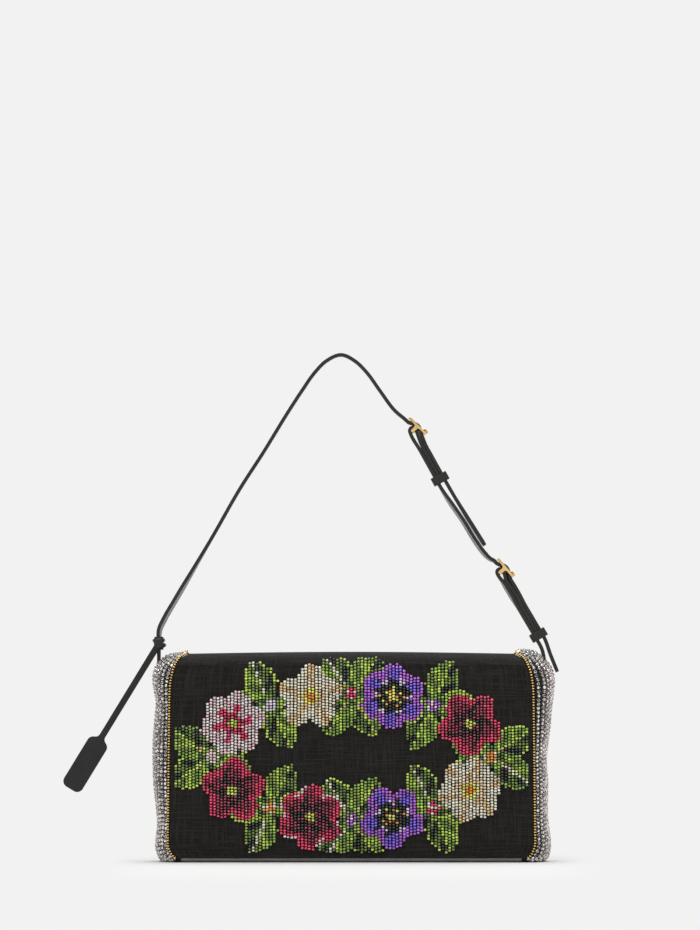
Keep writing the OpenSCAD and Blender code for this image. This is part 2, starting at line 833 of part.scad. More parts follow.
// The paddle has round corners, and hollow shoulders that lead into the strip
module paddle() {
    r = 0.3 * paddle_w;
    hollow = 0.25 * paddle_w;
    corner_x = paddle_w / 2 - r;
    corner_y = paddle_l / 2 - r;
    away = strip_w / 2 + hollow - corner_x;
    up = sqrt((r + hollow) ^ 2 - away ^ 2);
    meet = r / (r + hollow);
    for (s = [-1, 1], t = [-1, 1])
        translate([s * corner_x, t * corner_y])
            circle(r = r, $fn = 32);
    square([2 * corner_x, paddle_l], center = true);
    square([paddle_w, 2 * corner_y], center = true);
    difference() {
        translate([-corner_x - away * meet, corner_y])
            square([2 * (corner_x + away * meet), up]);
        for (s = [-1, 1])
            translate([s * (corner_x + away), corner_y + up])
                circle(r = hollow, $fn = 32);
    }
}

back_panel();
front_panel();
base_panel();
gusset_left();
gusset_right();
lining();
inner_pocket();
snap_socket();
snap_stud();
anchor_rivet_left();
anchor_rivet_right();
flap_top();
flap_top_lining();
flap_front();
flap_lining();
gold_edge_top();
gold_edge_left();
gold_edge_right();
beadwork();
strap_long();
strap_middle();
strap_chape();
buckle_frame_upper();
buckle_frame_lower();
buckle_prong_upper();
buckle_prong_lower();
keeper_upper();
keeper_lower();
tag_loop();
hang_tag();
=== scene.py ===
# %% [markdown]
# # A beaded shoulder bag
# A small flap bag in black slub linen. Its flap carries a beaded garland, its side gussets are
# covered with crystals, and a thin leather strap with two brass buckles arches over it.
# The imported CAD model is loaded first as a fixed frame. It says where every piece goes, so the
# pieces made here are sized from its boxes and then ride on its bodies.

# %% The frame
import math
import random

import bpy
import numpy as np
from mathutils import Matrix, Vector


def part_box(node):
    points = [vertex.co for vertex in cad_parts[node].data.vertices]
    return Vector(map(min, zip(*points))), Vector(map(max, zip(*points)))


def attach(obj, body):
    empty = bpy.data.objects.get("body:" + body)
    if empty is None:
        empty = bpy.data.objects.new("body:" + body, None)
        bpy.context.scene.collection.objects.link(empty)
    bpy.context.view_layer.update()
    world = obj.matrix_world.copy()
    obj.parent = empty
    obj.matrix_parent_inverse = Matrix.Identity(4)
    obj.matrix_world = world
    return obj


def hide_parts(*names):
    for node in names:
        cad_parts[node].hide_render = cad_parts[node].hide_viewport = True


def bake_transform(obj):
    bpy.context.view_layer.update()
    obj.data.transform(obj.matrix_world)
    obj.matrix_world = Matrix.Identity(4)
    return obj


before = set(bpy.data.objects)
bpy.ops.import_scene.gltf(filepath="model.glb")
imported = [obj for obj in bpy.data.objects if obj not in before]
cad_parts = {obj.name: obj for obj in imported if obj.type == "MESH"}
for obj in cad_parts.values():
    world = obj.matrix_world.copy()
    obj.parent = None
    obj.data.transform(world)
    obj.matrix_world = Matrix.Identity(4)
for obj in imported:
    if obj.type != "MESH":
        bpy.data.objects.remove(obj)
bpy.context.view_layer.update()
MM = 0.001
random.seed(7)

# %% [markdown]
# ## Sizes
# The main sizes are read from the CAD nodes, so the looks follow the construction. The few sizes
# that a box can't tell, such as how far a corner is rounded, are named here in millimetres.

# %% Sizes taken from the frame
flap_lo, flap_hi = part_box("flap_front")
back_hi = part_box("back_panel")[1]
top_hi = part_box("flap_top")[1]
lining_lo, lining_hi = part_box("lining")
HALF_W = flap_hi.x
HEIGHT = top_hi.z
FRONT_Y = flap_lo.y
HALF_D = back_hi.y
FOLD_R = 14 * MM
FLAP_T = 2.4 * MM
CORNER_TOP = (11 * MM, 30 * MM)
CORNER_FOOT = (8 * MM, 12 * MM)
TAPER = 1.1 * MM
FLAP_FOOT = flap_lo.z
CROWN_Z = HEIGHT - FLAP_T / 2
FRONT_FOLD_Y = FRONT_Y + FLAP_T / 2
FRONT_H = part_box("front_panel")[1].z
BULGE = 15 * MM
STRAP_W, STRAP_T = 10 * MM, 2.4 * MM
print("half width", round(HALF_W, 4), "height", round(HEIGHT, 4), "depth", round(2 * HALF_D, 4))

# %% [markdown]
# ## The camera
# The photograph was taken with a long lens, level with the top of the bag: no top and no underside
# shows. The bag stands low in the picture, so the camera looks up a little, by about a degree. A
# long lens is a small field of view from far away, 5 m here.

# %% Camera
VIEW_HEIGHT = 0.6417
VIEW_DISTANCE = 5.0
VIEW_MIDDLE = 0.2739
EYE_HEIGHT = 0.15
LOOK_UP = math.atan((VIEW_MIDDLE - EYE_HEIGHT) / VIEW_DISTANCE)
bpy.ops.object.camera_add(location=(-0.0010, FRONT_Y - VIEW_DISTANCE, EYE_HEIGHT),
                          rotation=(math.radians(90) + LOOK_UP, 0, 0))
camera = bpy.context.object
camera.name = "camera"
camera.data.sensor_fit = "VERTICAL"
camera.data.angle = 2 * math.atan(VIEW_HEIGHT / 2 / VIEW_DISTANCE)
camera.data.clip_start, camera.data.clip_end = 0.1, 50
bpy.context.scene.camera = camera
print("camera at", tuple(round(c, 3) for c in camera.location))

# %% [markdown]
# ## Building materials from nodes
# Every finish is a small graph of nodes. Adding nodes one by one takes many lines, so a tiny
# builder does it: it makes a node, sets its inputs by name, and joins whatever is a socket.

# %% Node helpers
PALE = (0.888, 0.888, 0.885, 1)


class Graph:
    """A node tree that is being built. Inputs that are sockets are linked, others are set."""

    def __init__(self, tree):
        self.tree = tree

    def add(self, kind, inputs=None, **settings):
        made = self.tree.nodes.new(kind)
        for name, value in settings.items():
            setattr(made, name, value)
        self.attach(made, inputs or {})
        return made

    def attach(self, node, sockets):
        """Sets a node's inputs: sockets are linked, and plain values are set on it directly."""
        for name, value in sockets.items():
            if isinstance(value, bpy.types.NodeSocket):
                self.tree.links.new(value, node.inputs[name])
            else:
                node.inputs[name].default_value = value

    def math(self, operation, first, second=0.0, third=0.0):
        return self.add("ShaderNodeMath", {0: first, 1: second, 2: third},
                        operation=operation).outputs[0]

    def vector(self, operation, first, second=(0, 0, 0)):
        return self.add("ShaderNodeVectorMath", {0: first, 1: second},
                        operation=operation).outputs[0]

    def spread(self, value, low, high, to_low=0.0, to_high=1.0, kind="LINEAR"):
        """Maps the range low to high onto another, or onto 0 to 1."""
        return self.add("ShaderNodeMapRange", {
            "Value": value, "From Min": low, "From Max": high, "To Min": to_low,
            "To Max": to_high}, interpolation_type=kind).outputs[0]

    def bump(self, height, strength, distance):
        return self.add("ShaderNodeBump", {"Height": height, "Strength": strength,
                                           "Distance": distance}).outputs[0]

    def mix(self, factor, first, second, blend="MIX"):
        made = self.add("ShaderNodeMix", {0: factor, 6: first, 7: second},
                        data_type="RGBA", blend_type=blend)
        return made.outputs[2]

    def scaled(self, vector, scale):
        return self.add("ShaderNodeMapping", {"Vector": vector, "Scale": scale}).outputs[0]

    def noise(self, vector, scale, detail=3.0, rough=0.5):
        return self.add("ShaderNodeTexNoise", {"Vector": vector, "Scale": scale, "Detail": detail,
                                               "Roughness": rough}).outputs["Fac"]


def new_material(name):
    """An empty node material with its output and a Principled shader joined to it."""
    made = bpy.data.materials.new(name)
    made.use_nodes = True
    made.node_tree.nodes.clear()
    graph = Graph(made.node_tree)
    shader = graph.add("ShaderNodeBsdfPrincipled")
    graph.add("ShaderNodeOutputMaterial", {"Surface": shader.outputs[0]})
    return made, graph, shader


def new_group(name, inputs, outputs):
    """A shader node group with named number, colour or vector sockets."""
    group = bpy.data.node_groups.new(name, "ShaderNodeTree")
    for side, sockets in (("INPUT", inputs), ("OUTPUT", outputs)):
        for label, kind in sockets:
            group.interface.new_socket(label, in_out=side, socket_type="NodeSocket" + kind)
    graph = Graph(group)
    start = graph.add("NodeGroupInput").outputs
    return group, graph, start


def close_group(graph, outputs):
    graph.add("NodeGroupOutput", outputs)


def place_group(graph, group, inputs):
    made = graph.tree.nodes.new("ShaderNodeGroup")
    made.node_tree = group
    graph.attach(made, inputs)
    return made.outputs


def plain_rays(graph):
    """Light Path's outputs, and a mask of the rays that see the plain background."""
    rays = graph.add("ShaderNodeLightPath").outputs
    inner = graph.math("MAXIMUM", rays["Is Glossy Ray"], rays["Is Transmission Ray"])
    return rays, graph.math("MAXIMUM", rays["Is Camera Ray"], inner)


# %% [markdown]
# ## The floor and the light
# The picture has a pale seamless background. The floor is an ordinary matt plane that catches the
# soft shadow near the bag, and further out it fades into the plain background colour, which the
# world also shows to the camera and to reflections. Overhead the room is dimmer, which only
# reflections show. The light is broad and soft, from large lamps.

# %% Floor
FLOOR_SIZE = 16
FLOOR_GREY = (0.81, 0.81, 0.807, 1)
NEAR, FAR = 0.04, 0.5
SIDE_FADE = 10
bpy.ops.mesh.primitive_plane_add(size=FLOOR_SIZE, location=(0, 0, -0.2 * MM))
floor = bpy.context.object
floor.name = "floor"
bpy.ops.object.transform_apply(location=True)
paint, graph, shader = new_material("floor_paper")
place = graph.add("ShaderNodeTexCoord").outputs["Object"]
beyond = graph.vector("SUBTRACT", graph.vector("ABSOLUTE", place), (HALF_W, HALF_D, 0))
beyond = graph.vector("MULTIPLY", graph.vector("MAXIMUM", beyond), (SIDE_FADE, 1, 1))
away = graph.add("ShaderNodeVectorMath", {0: beyond}, operation="LENGTH").outputs["Value"]
fade = graph.spread(away, NEAR, FAR, kind="SMOOTHSTEP")
graph.attach(shader, {"Base Color": FLOOR_GREY, "Roughness": 0.95,
                       "Specular IOR Level": 0.0})
plain = graph.add("ShaderNodeEmission", {"Color": PALE, "Strength": 1.0})
seen = plain_rays(graph)[1]
blend = graph.add("ShaderNodeMixShader", {0: graph.math("MULTIPLY", fade, seen),
                                          1: shader.outputs[0], 2: plain.outputs[0]})
output = next(n for n in paint.node_tree.nodes if n.type == "OUTPUT_MATERIAL")
paint.node_tree.links.new(blend.outputs[0], output.inputs[0])
floor.data.materials.append(paint)

# %% World and lamps
WORLD_LIGHT = 0.46
ROOM_RISE = (0.08, 0.7)
CEILING = 0.35
world = bpy.data.worlds.new("studio")
bpy.context.scene.world = world
world.use_nodes = True
world.node_tree.nodes.clear()
graph = Graph(world.node_tree)
rays, seen = plain_rays(graph)
towards = graph.add("ShaderNodeSeparateXYZ", {
    0: graph.add("ShaderNodeTexCoord").outputs["Generated"]}).outputs
room = graph.spread(towards["Z"], *ROOM_RISE, 1.0, CEILING, kind="SMOOTHSTEP")
strength = graph.math("MAXIMUM", room, graph.math("SUBTRACT", 1.0, rays["Is Glossy Ray"]))
shown = graph.add("ShaderNodeBackground", {"Color": PALE, "Strength": strength})
lit = graph.add("ShaderNodeBackground", {"Color": (1, 1, 1, 1), "Strength": WORLD_LIGHT})
both = graph.add("ShaderNodeMixShader", {0: seen, 1: lit.outputs[0], 2: shown.outputs[0]})
graph.add("ShaderNodeOutputWorld", {"Surface": both.outputs[0]})


def lamp(name, place, size, power, aim=(0, 0, 0.15)):
    """A square soft box that faces the point aim."""
    bpy.ops.object.light_add(type="AREA", location=place)
    made = bpy.context.object
    made.name = name
    made.data.size = size
    made.data.energy = power
    made.rotation_euler = (Vector(aim) - Vector(place)).to_track_quat("-Z", "Y").to_euler()
    return made


lamp("key", (-0.9, -1.5, 1.9), 1.4, 14)
lamp("fill", (1.5, -1.3, 1.1), 1.2, 5)
lamp("top", (0.1, 0.2, 2.0), 1.3, 24)
bpy.context.scene.view_settings.view_transform = "Standard"

# %% [markdown]
# ## Shared effects
# Weave, leather grain and fine wear are each used by more than one finish, so each is a node group
# with named inputs; on metal the wear's patches also paint dark reflections. A group only works out
# masks, values and colours; the shader stays outside.

# %% Weave: two sets of threads, some thicker than others
weave, graph, start = new_group(
    "weave", [("UV", "Vector"), ("Pitch", "Float"), ("Slub", "Float")],
    [("Height", "Float"), ("Thread", "Float"), ("Fleck", "Float")])
split = graph.add("ShaderNodeSeparateXYZ", {0: start["UV"]}).outputs
threads = []
for along, across in (("X", "Y"), ("Y", "X")):
    swing = graph.noise(start["UV"], 90.0, 1.0)
    place = graph.math("ADD", split[across], graph.math("MULTIPLY", swing, 0.0004))
    turns = graph.math("MULTIPLY", graph.math("DIVIDE", place, start["Pitch"]), math.pi)
    ridge = graph.math("ABSOLUTE", graph.math("SINE", turns))
    crossing = graph.math("SINE", graph.math(
        "MULTIPLY", graph.math("DIVIDE", split[along], start["Pitch"]), math.pi))
    row = graph.math("SIGN", graph.math("SINE", turns))
    over = graph.math("MULTIPLY_ADD", graph.math("MULTIPLY", row, crossing),
                      0.35 if along == "X" else -0.35, 0.65)
    threads.append(graph.math("MULTIPLY", ridge, over))
streaks = []
for scale in ((38, 900, 1), (900, 38, 1)):
    streaks.append(graph.noise(graph.scaled(start["UV"], scale), 1.0, 3.0, 0.6))
slub = graph.math("MAXIMUM", streaks[0], streaks[1])
thick = graph.spread(slub, 0.5, 0.78)
height = graph.math("MAXIMUM", threads[0], threads[1])
height = graph.math("MULTIPLY_ADD", graph.math("MULTIPLY", thick, start["Slub"]), 1.2, height)
close_group(graph, {
    "Height": height, "Thread": thick,
    "Fleck": graph.noise(graph.scaled(start["UV"], (1400, 1400, 1)), 1.0, 2.0, 0.7)})

# %% Grain: the pebbles and pores of leather
grain, graph, start = new_group(
    "grain", [("Place", "Vector"), ("Scale", "Float"), ("Depth", "Float")],
    [("Height", "Float"), ("Mask", "Float")])
cells = graph.add("ShaderNodeTexVoronoi", {"Vector": start["Place"], "Scale": start["Scale"]},
                  feature="SMOOTH_F1").outputs["Distance"]
pores = graph.noise(start["Place"], graph.math("MULTIPLY", start["Scale"], 2.4), 3.0)
height = graph.math("MULTIPLY_ADD", pores, 0.5, graph.math("SUBTRACT", 1.0, cells))
close_group(graph, {"Height": graph.math("MULTIPLY", height, start["Depth"]),
                    "Mask": graph.noise(start["Place"], 60.0, 3.0)})

# %% Wear: fine scratches and soft patches; on metal the patches darken the colour, partly as dulled wear and partly as painted dark reflections
wear_and_reflection_patches, graph, start = new_group(
    "wear_and_reflection_patches", [("Place", "Vector"), ("Scale", "Float")], [("Scratch", "Float"), ("Patch", "Float")])
scratch = graph.noise(graph.scaled(start["Place"], (1, 6, 1)), start["Scale"], 4.0, 0.7)
close_group(graph, {"Scratch": scratch, "Patch": graph.noise(start["Place"], 180.0, 2.0)})
print("node groups:", ", ".join(g.name for g in bpy.data.node_groups))

# %% [markdown]
# ## The finishes
# Black cloth is never all black. Its base colour runs from nearly black to a very dark grey: it is
# darker where the threads dip, a painted shade between the threads, lighter along the thick slubs,
# and flecked at random. Roughness and bump come from the same threads as the colour.

# %% Cloth finishes
def cloth(name, dark, light, pitch, slub, rough, bump, sheen):
    made, graph, shader = new_material(name)
    uv = graph.add("ShaderNodeUVMap", uv_map="UVMap").outputs[0]
    out = place_group(graph, weave, {"UV": uv, "Pitch": pitch, "Slub": slub})
    # The colour darkens where the thread height dips, a painted shade between the threads, mixed
    # with random flecks.
    tone = graph.math("MULTIPLY_ADD", out["Height"], 0.4, graph.math("MULTIPLY", out["Fleck"], 0.6))
    colour = graph.mix(graph.spread(tone, 0.36, 0.78), (*dark, 1), (*light, 1))
    colour = graph.mix(graph.math("MULTIPLY", out["Thread"], 0.5 * slub), colour, (*light, 1))
    normal = graph.bump(out["Height"], bump, 0.2 * MM)
    graph.attach(shader, {
        "Base Color": colour, "Normal": normal, "Sheen Weight": sheen, "Sheen Roughness": 0.5,
        "Roughness": graph.math("MULTIPLY_ADD", out["Fleck"], 0.15, rough),
        "Specular IOR Level": 0.08})
    return made


linen = cloth("slub_linen", (0.001, 0.001, 0.0009), (0.026, 0.0243, 0.022),
              0.8 * MM, 1.3, 0.85, 1.0, 0.15)
# The grey cloth on the lowest band of the base is painted shadow: it stands in for the shadowed
# floor seen under the flap.
painted_shadow_band = cloth("painted_shadow_band", (0.3, 0.295, 0.29), (0.5, 0.495, 0.485),
                   0.5 * MM, 0.2, 0.8, 0.5, 0.0)
inside_cloth = cloth("lining_cloth", (0.012, 0.010, 0.009), (0.032, 0.026, 0.023),
                     0.3 * MM, 0.2, 0.6, 0.5, 0.1)


# %% Leather finishes
def leather(name, dark, light, scale, depth, rough, coat, shine):
    made, graph, shader = new_material(name)
    place = graph.add("ShaderNodeTexCoord").outputs["Object"]
    out = place_group(graph, grain, {"Place": place, "Scale": scale, "Depth": depth})
    wear_and_reflection = place_group(graph, wear_and_reflection_patches, {"Place": place, "Scale": 900.0})
    normal = graph.bump(out["Height"], 0.5, 0.12 * MM)
    graph.attach(shader, {
        "Base Color": graph.mix(out["Mask"], (*dark, 1), (*light, 1)), "Normal": normal,
        "Roughness": graph.math("MULTIPLY_ADD", wear_and_reflection["Patch"], 0.2, rough),
        "Coat Weight": coat, "Coat Roughness": 0.3, "Specular IOR Level": shine})
    return made


strap_leather = leather("smooth_black_leather", (0.006, 0.0055, 0.005), (0.014, 0.013, 0.012),
                        1500.0, 0.6, 0.36, 0.1, 0.4)
strap_back = leather("strap_underside", (0.2, 0.195, 0.19), (0.32, 0.315, 0.31),
                     1500.0, 0.5, 0.4, 0.0, 0.5)
tag_leather = leather("grained_black_leather", (0.006, 0.006, 0.0055), (0.017, 0.0165, 0.016),
                      900.0, 1.4, 0.42, 0.05, 0.35)
# The strap's edges are lighter than its faces: partly their own edge paint, partly a painted
# highlight of the light that the rounded edge catches.
edge_paint_and_highlight = leather("edge_paint_with_highlight", (0.009, 0.0085, 0.008), (0.024, 0.0232, 0.0222),
                     600.0, 0.3, 0.38, 0.0, 0.4)


# %% Metal finishes
def metal(name, bright, dull_and_dark_reflection, rough, scale):
    made, graph, shader = new_material(name)
    place = graph.add("ShaderNodeTexCoord").outputs["Object"]
    wear_and_reflection = place_group(graph, wear_and_reflection_patches, {"Place": place, "Scale": scale})
    normal = graph.bump(wear_and_reflection["Scratch"], 0.12, 0.05 * MM)
    # The base colour runs from bright to dark in soft patches: partly dulled wear, partly painted
    # dark reflections.
    graph.attach(shader, {
        "Base Color": graph.mix(wear_and_reflection["Patch"], (*dull_and_dark_reflection, 1), (*bright, 1)), "Metallic": 1.0,
        "Roughness": graph.math("MULTIPLY_ADD", wear_and_reflection["Scratch"], 0.14, rough),
        "Normal": normal})
    return made


brass = metal("polished_brass", (1.0, 0.76, 0.36), (0.6, 0.33, 0.1), 0.1, 2400.0)
gold = metal("gold_bead", (0.95, 0.72, 0.27), (0.78, 0.5, 0.16), 0.2, 1800.0)


# %% Glass finishes: cut crystals and seed beads
def glassy(name, rough, metallic, specular, coat):
    made, graph, shader = new_material(name)
    place = graph.add("ShaderNodeTexCoord").outputs["Object"]
    wear_and_reflection = place_group(graph, wear_and_reflection_patches, {"Place": place, "Scale": 1500.0})
    # The colour attribute holds each bead's own colour and, on the crystals, their painted facet
    # reflections.
    paint = graph.add("ShaderNodeAttribute", attribute_name="colour_and_glints").outputs["Color"]
    dim = graph.spread(wear_and_reflection["Scratch"], 0.0, 1.0, 0.82, 1.08)
    shade = graph.add("ShaderNodeCombineXYZ", {0: dim, 1: dim, 2: dim}).outputs[0]
    graph.attach(shader, {
        "Base Color": graph.mix(1.0, paint, shade, "MULTIPLY"), "Metallic": metallic,
        "Roughness": graph.math("MULTIPLY_ADD", wear_and_reflection["Patch"], 0.1, rough),
        "Specular IOR Level": specular, "Coat Weight": coat, "Coat Roughness": 0.05})
    return made


crystal_glass = glassy("cut_crystal", 0.04, 0.6, 0.8, 0.9)
bead_glass = glassy("seed_bead_glass", 0.1, 0.0, 0.8, 0.6)
print("materials:", ", ".join(m.name for m in bpy.data.materials if m.users or m.use_nodes))

# %% [markdown]
# ## Making and finishing a piece
# Cloth is made from a grid primitive whose points are laid on the piece's surface by a formula of
# two shares, u across and v along. Its UV map is then in metres of cloth, so that a woven pattern
# keeps its scale. Solidify gives the cloth its thickness, and the inner face can be a lining.

# %% Helpers for meshes
def deselect():
    bpy.ops.object.select_all(action="DESELECT")


def active(piece):
    deselect()
    piece.select_set(True)
    bpy.context.view_layer.objects.active = piece
    return piece


def apply_modifier(piece, kind, **settings):
    active(piece)
    made = piece.modifiers.new(kind.title(), kind)
    for name, value in settings.items():
        setattr(made, name, value)
    bpy.ops.object.modifier_apply(modifier=made.name)


def edit_whole(piece, *steps):
    """Runs edit mode operators, each with its settings, on a whole piece."""
    active(piece)
    bpy.ops.object.mode_set(mode="EDIT")
    bpy.ops.mesh.select_all(action="SELECT")
    for operator, settings in steps:
        operator(**settings)
    bpy.ops.object.mode_set(mode="OBJECT")


def smooth(piece, degrees=40):
    active(piece)
    bpy.ops.object.shade_smooth_by_angle(angle=math.radians(degrees))


def laid_grid(name, columns, rows, where, size):
    """A grid primitive with its points put at where(u, v), and its UV map in metres."""
    deselect()
    bpy.ops.mesh.primitive_grid_add(x_subdivisions=columns, y_subdivisions=rows, size=2)
    piece = bpy.context.object
    piece.name = name
    mesh = piece.data
    shares = np.array([((v.co.x + 1) / 2, (v.co.y + 1) / 2) for v in mesh.vertices])
    for vertex, (u, v) in zip(mesh.vertices, shares):
        vertex.co = where(u, v)
    layer = mesh.uv_layers.active or mesh.uv_layers.new(name="UVMap")
    layer.name = "UVMap"
    for loop in mesh.loops:
        u, v = shares[loop.vertex_index]
        layer.data[loop.index].uv = (u * size[0], v * size[1])
    mesh.update()
    return piece


def finish_piece(piece, body, slot, *materials, replaces=()):
    """Gives the piece its finishes, says what it rides on, and hides the CAD nodes it stands for.
    Its slot is not used.
    """
    if materials:
        piece.data.materials.clear()
        for material in materials:
            piece.data.materials.append(material)
    if body:
        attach(piece, body)
    if replaces:
        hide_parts(*replaces)
    print(piece.name, len(piece.data.polygons), "faces")
    return piece


def walk_line(points):
    """The length along a line up to each of its points."""
    steps = np.linalg.norm(np.diff(points, axis=0), axis=1)
    return np.concatenate([[0.0], np.cumsum(steps)])


def unit_rows(vectors):
    """Each row made one long, and a row of zeros left as it is."""
    return vectors / np.maximum(np.linalg.norm(vectors, axis=1, keepdims=True), 1e-9)


def even_places(points, pitch=None, count=None, ends=True):
    """Points at even steps along a line, with its direction there. Columns after Z are carried."""
    points = np.asarray(points, float)
    walked = walk_line(points[:, :3])
    count = count or max(2, int(round(walked[-1] / pitch)) + (1 if ends else 0))
    at = (np.arange(count) + 0.5) * walked[-1] / count
    if ends:
        at = np.linspace(0, walked[-1], count)

    def found(at):
        return np.stack([np.interp(at, walked, column) for column in points.T], axis=1)

    step = 0.3 * MM
    turn = found(np.minimum(at + step, walked[-1])) - found(np.maximum(at - step, 0))
    return found(at), unit_rows(turn)


def arc(y, z, radius, first, last, steps=9):
    """Points of an arc round y, z between two angles, in degrees."""
    return [(y + radius * math.cos(a), z + radius * math.sin(a))
            for a in np.radians(np.linspace(first, last, steps))]


def curve_through(points, starts, ends, steps=6):
    """A smooth line through points, each stretch with a slope at its start and one at its end."""
    made = []
    for i in range(len(points) - 1):
        for t in np.arange(steps) / steps:
            made.append((2 * t**3 - 3 * t**2 + 1) * points[i] + (t**3 - 2 * t**2 + t) * starts[i]
                        + (3 * t**2 - 2 * t**3) * points[i + 1] + (t**3 - t**2) * ends[i])
    return np.array(made + [points[-1]])


def rolled(z):
    """How far the front and back lie further in near the top, where the cloth rolls over."""
    up = np.clip((np.asarray(z) - (HEIGHT - FOLD_R)) / FOLD_R, 0, 1)
    return FOLD_R * (1 - np.sqrt(1 - up**2))


def half_width(z):
    """Half the flap's width at height z: slightly tapered, with round corners."""
    foot, top = FLAP_FOOT + CORNER_FOOT[1], CROWN_Z - CORNER_TOP[1]
    wide = HALF_W - TAPER * min(1, max(0, (z - foot) / (top - foot)))
    corner, share = CORNER_FOOT, max(0, foot - z) / CORNER_FOOT[1]
    if z > top:
        corner, share = CORNER_TOP, (z - top) / CORNER_TOP[1]
    return wide - corner[0] * (1 - math.sqrt(max(0, 1 - min(1, share) ** 2)))


def flap_edge():
    """The flap's right edge seen from the front: foot corner, straight side, top corner."""
    turns = np.radians(np.linspace(90, 0, 11))
    heights = np.concatenate([FLAP_FOOT + CORNER_FOOT[1] * (1 - np.sin(turns)),
                              CROWN_Z - CORNER_TOP[1] * (1 - np.cos(turns))])
    return np.array([(half_width(z), z) for z in sorted(heights)])


# %% [markdown]
# ## The flap's cloth
# The flap is one piece of slub linen, backed with lining. It starts at the back of the bag, turns
# over the top and hangs down the front. Two hinges in the frame let it open: one at the back
# fold and one at the front fold. So it is made as two pieces that meet on top. The cloth lies a
# little puffed over its padding, as on the real bag.

# %% Flap cloth
PUFF = 1.0 * MM
MEET_Y = 0.0
TOP_DROOP = 1.3 * MM
TUCK = 6 * MM
RIPPLE = 0.18 * MM


def flap_profile():
    """The outer face of the front piece in Y and Z, from mid-top down to the foot."""
    centre = (FRONT_Y + FOLD_R, HEIGHT - FOLD_R)
    line = [(y, HEIGHT) for y in np.linspace(MEET_Y, centre[0], 10)]
    line += arc(*centre, FOLD_R, 90, 180)[1:]
    line += [(FRONT_Y, z) for z in np.linspace(centre[1], FLAP_FOOT, 60)][1:]
    return np.array(line)


def back_profile():
    """The outer face of the back piece, from under the fold up and over to mid-top."""
    centre = (HALF_D - FOLD_R, HEIGHT - FOLD_R)
    line = [(HALF_D, z) for z in np.linspace(centre[1] - TUCK, centre[1], 6)]
    line += arc(*centre, FOLD_R, 0, 90)[1:]
    line += [(y, HEIGHT) for y in np.linspace(centre[0], MEET_Y, 10)][1:]
    return np.array(line)


def cloth_over(name, profile, columns, rows):
    walked = walk_line(profile)

    def where(u, v):
        at = v * walked[-1]
        y, z = np.interp(at, walked, profile[:, 0]), np.interp(at, walked, profile[:, 1])
        on_front = y < FRONT_FOLD_Y - 0.2 * MM
        wide = half_width(min(z, CROWN_Z))
        x = (2 * u - 1) * wide
        swell = math.sin(math.pi * u) ** 0.5
        z -= TOP_DROOP * (1 - math.sin(math.pi * u)) * max(0, 1 - (HEIGHT - z) / FOLD_R)
        if on_front:
            share = (z - FLAP_FOOT) / (CROWN_Z - FLAP_FOOT)
            y += PUFF * (1 - swell * math.sin(math.pi * min(1, max(0, share))) ** 0.6)
            y += RIPPLE * math.sin(x * 47 + 1) * math.sin(z * 61)
        return (x, y, z)

    piece = laid_grid(name, columns, rows, where, (2 * HALF_W, walked[-1]))
    edit_whole(piece, (bpy.ops.mesh.normals_make_consistent, {"inside": False}))
    return piece


def face_outwards(piece, towards):
    """Turns an open sheet over if most of its faces don't look towards a direction."""
    total = sum((p.normal * p.area for p in piece.data.polygons), Vector())
    if total.dot(Vector(towards)) < 0:
        edit_whole(piece, (bpy.ops.mesh.flip_normals, {}))


flap_cloth = cloth_over("flap_cloth", flap_profile(), 120, 130)
face_outwards(flap_cloth, (0, -1, 0.3))
flap_cloth.data.materials.append(linen)
flap_cloth.data.materials.append(inside_cloth)
apply_modifier(flap_cloth, "SOLIDIFY", thickness=FLAP_T - 0.6 * MM, offset=-1, material_offset=1,
               material_offset_rim=0, use_even_offset=True)
smooth(flap_cloth, 50)
finish_piece(flap_cloth, None, "linen", replaces=("flap_front", "flap_lining"))
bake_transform(flap_cloth)

flap_back_cloth = cloth_over("flap_back_cloth", back_profile(), 120, 28)
face_outwards(flap_back_cloth, (0, 0.3, 1))
flap_back_cloth.data.materials.append(linen)
flap_back_cloth.data.materials.append(inside_cloth)
apply_modifier(flap_back_cloth, "SOLIDIFY", thickness=FLAP_T - 0.2 * MM, offset=-1,
               material_offset=1, material_offset_rim=0, use_even_offset=True)
smooth(flap_back_cloth, 50)
finish_piece(flap_back_cloth, None, "linen", replaces=("flap_top", "flap_top_lining"))
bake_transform(flap_back_cloth)

# %% [markdown]
# ## The bag's body
# Under the flap, the same linen wraps round the bag from the front edge down, under the base and
# up the back. One sheet laid along a U-shaped profile with rounded corners does it, and the bag's
# inside is a separate box of lining, open at the top.

# %% Body cloth
BASE_R = 5 * MM
BODY_T = 1.6 * MM
SHADOW_BAND_TOP = 4.5 * MM
HOLLOW = 0.35 * MM


def body_profile():
    low = BASE_R
    line = [(-HALF_D, z) for z in np.linspace(FRONT_H, low, 50)]
    line += arc(-HALF_D + BASE_R, low, BASE_R, 180, 270)[1:]
    line += [(y, 0.0) for y in np.linspace(-HALF_D + BASE_R, HALF_D - BASE_R, 20)][1:]
    line += arc(HALF_D - BASE_R, low, BASE_R, 270, 360)[1:]
    line += [(HALF_D, z) for z in np.linspace(low, HEIGHT - FOLD_R - TUCK, 56)][1:]
    return np.array(line)


def body_point(profile, walked, u, v):
    at = v * walked[-1]
    y, z = np.interp(at, walked, profile[:, 0]), np.interp(at, walked, profile[:, 1])
    wide = half_width(max(z, FLAP_FOOT))
    if y <= -HALF_D + BASE_R / 2:
        y += HOLLOW * math.sin(math.pi * min(1, z / FRONT_H))
    return ((2 * u - 1) * wide, y, z)


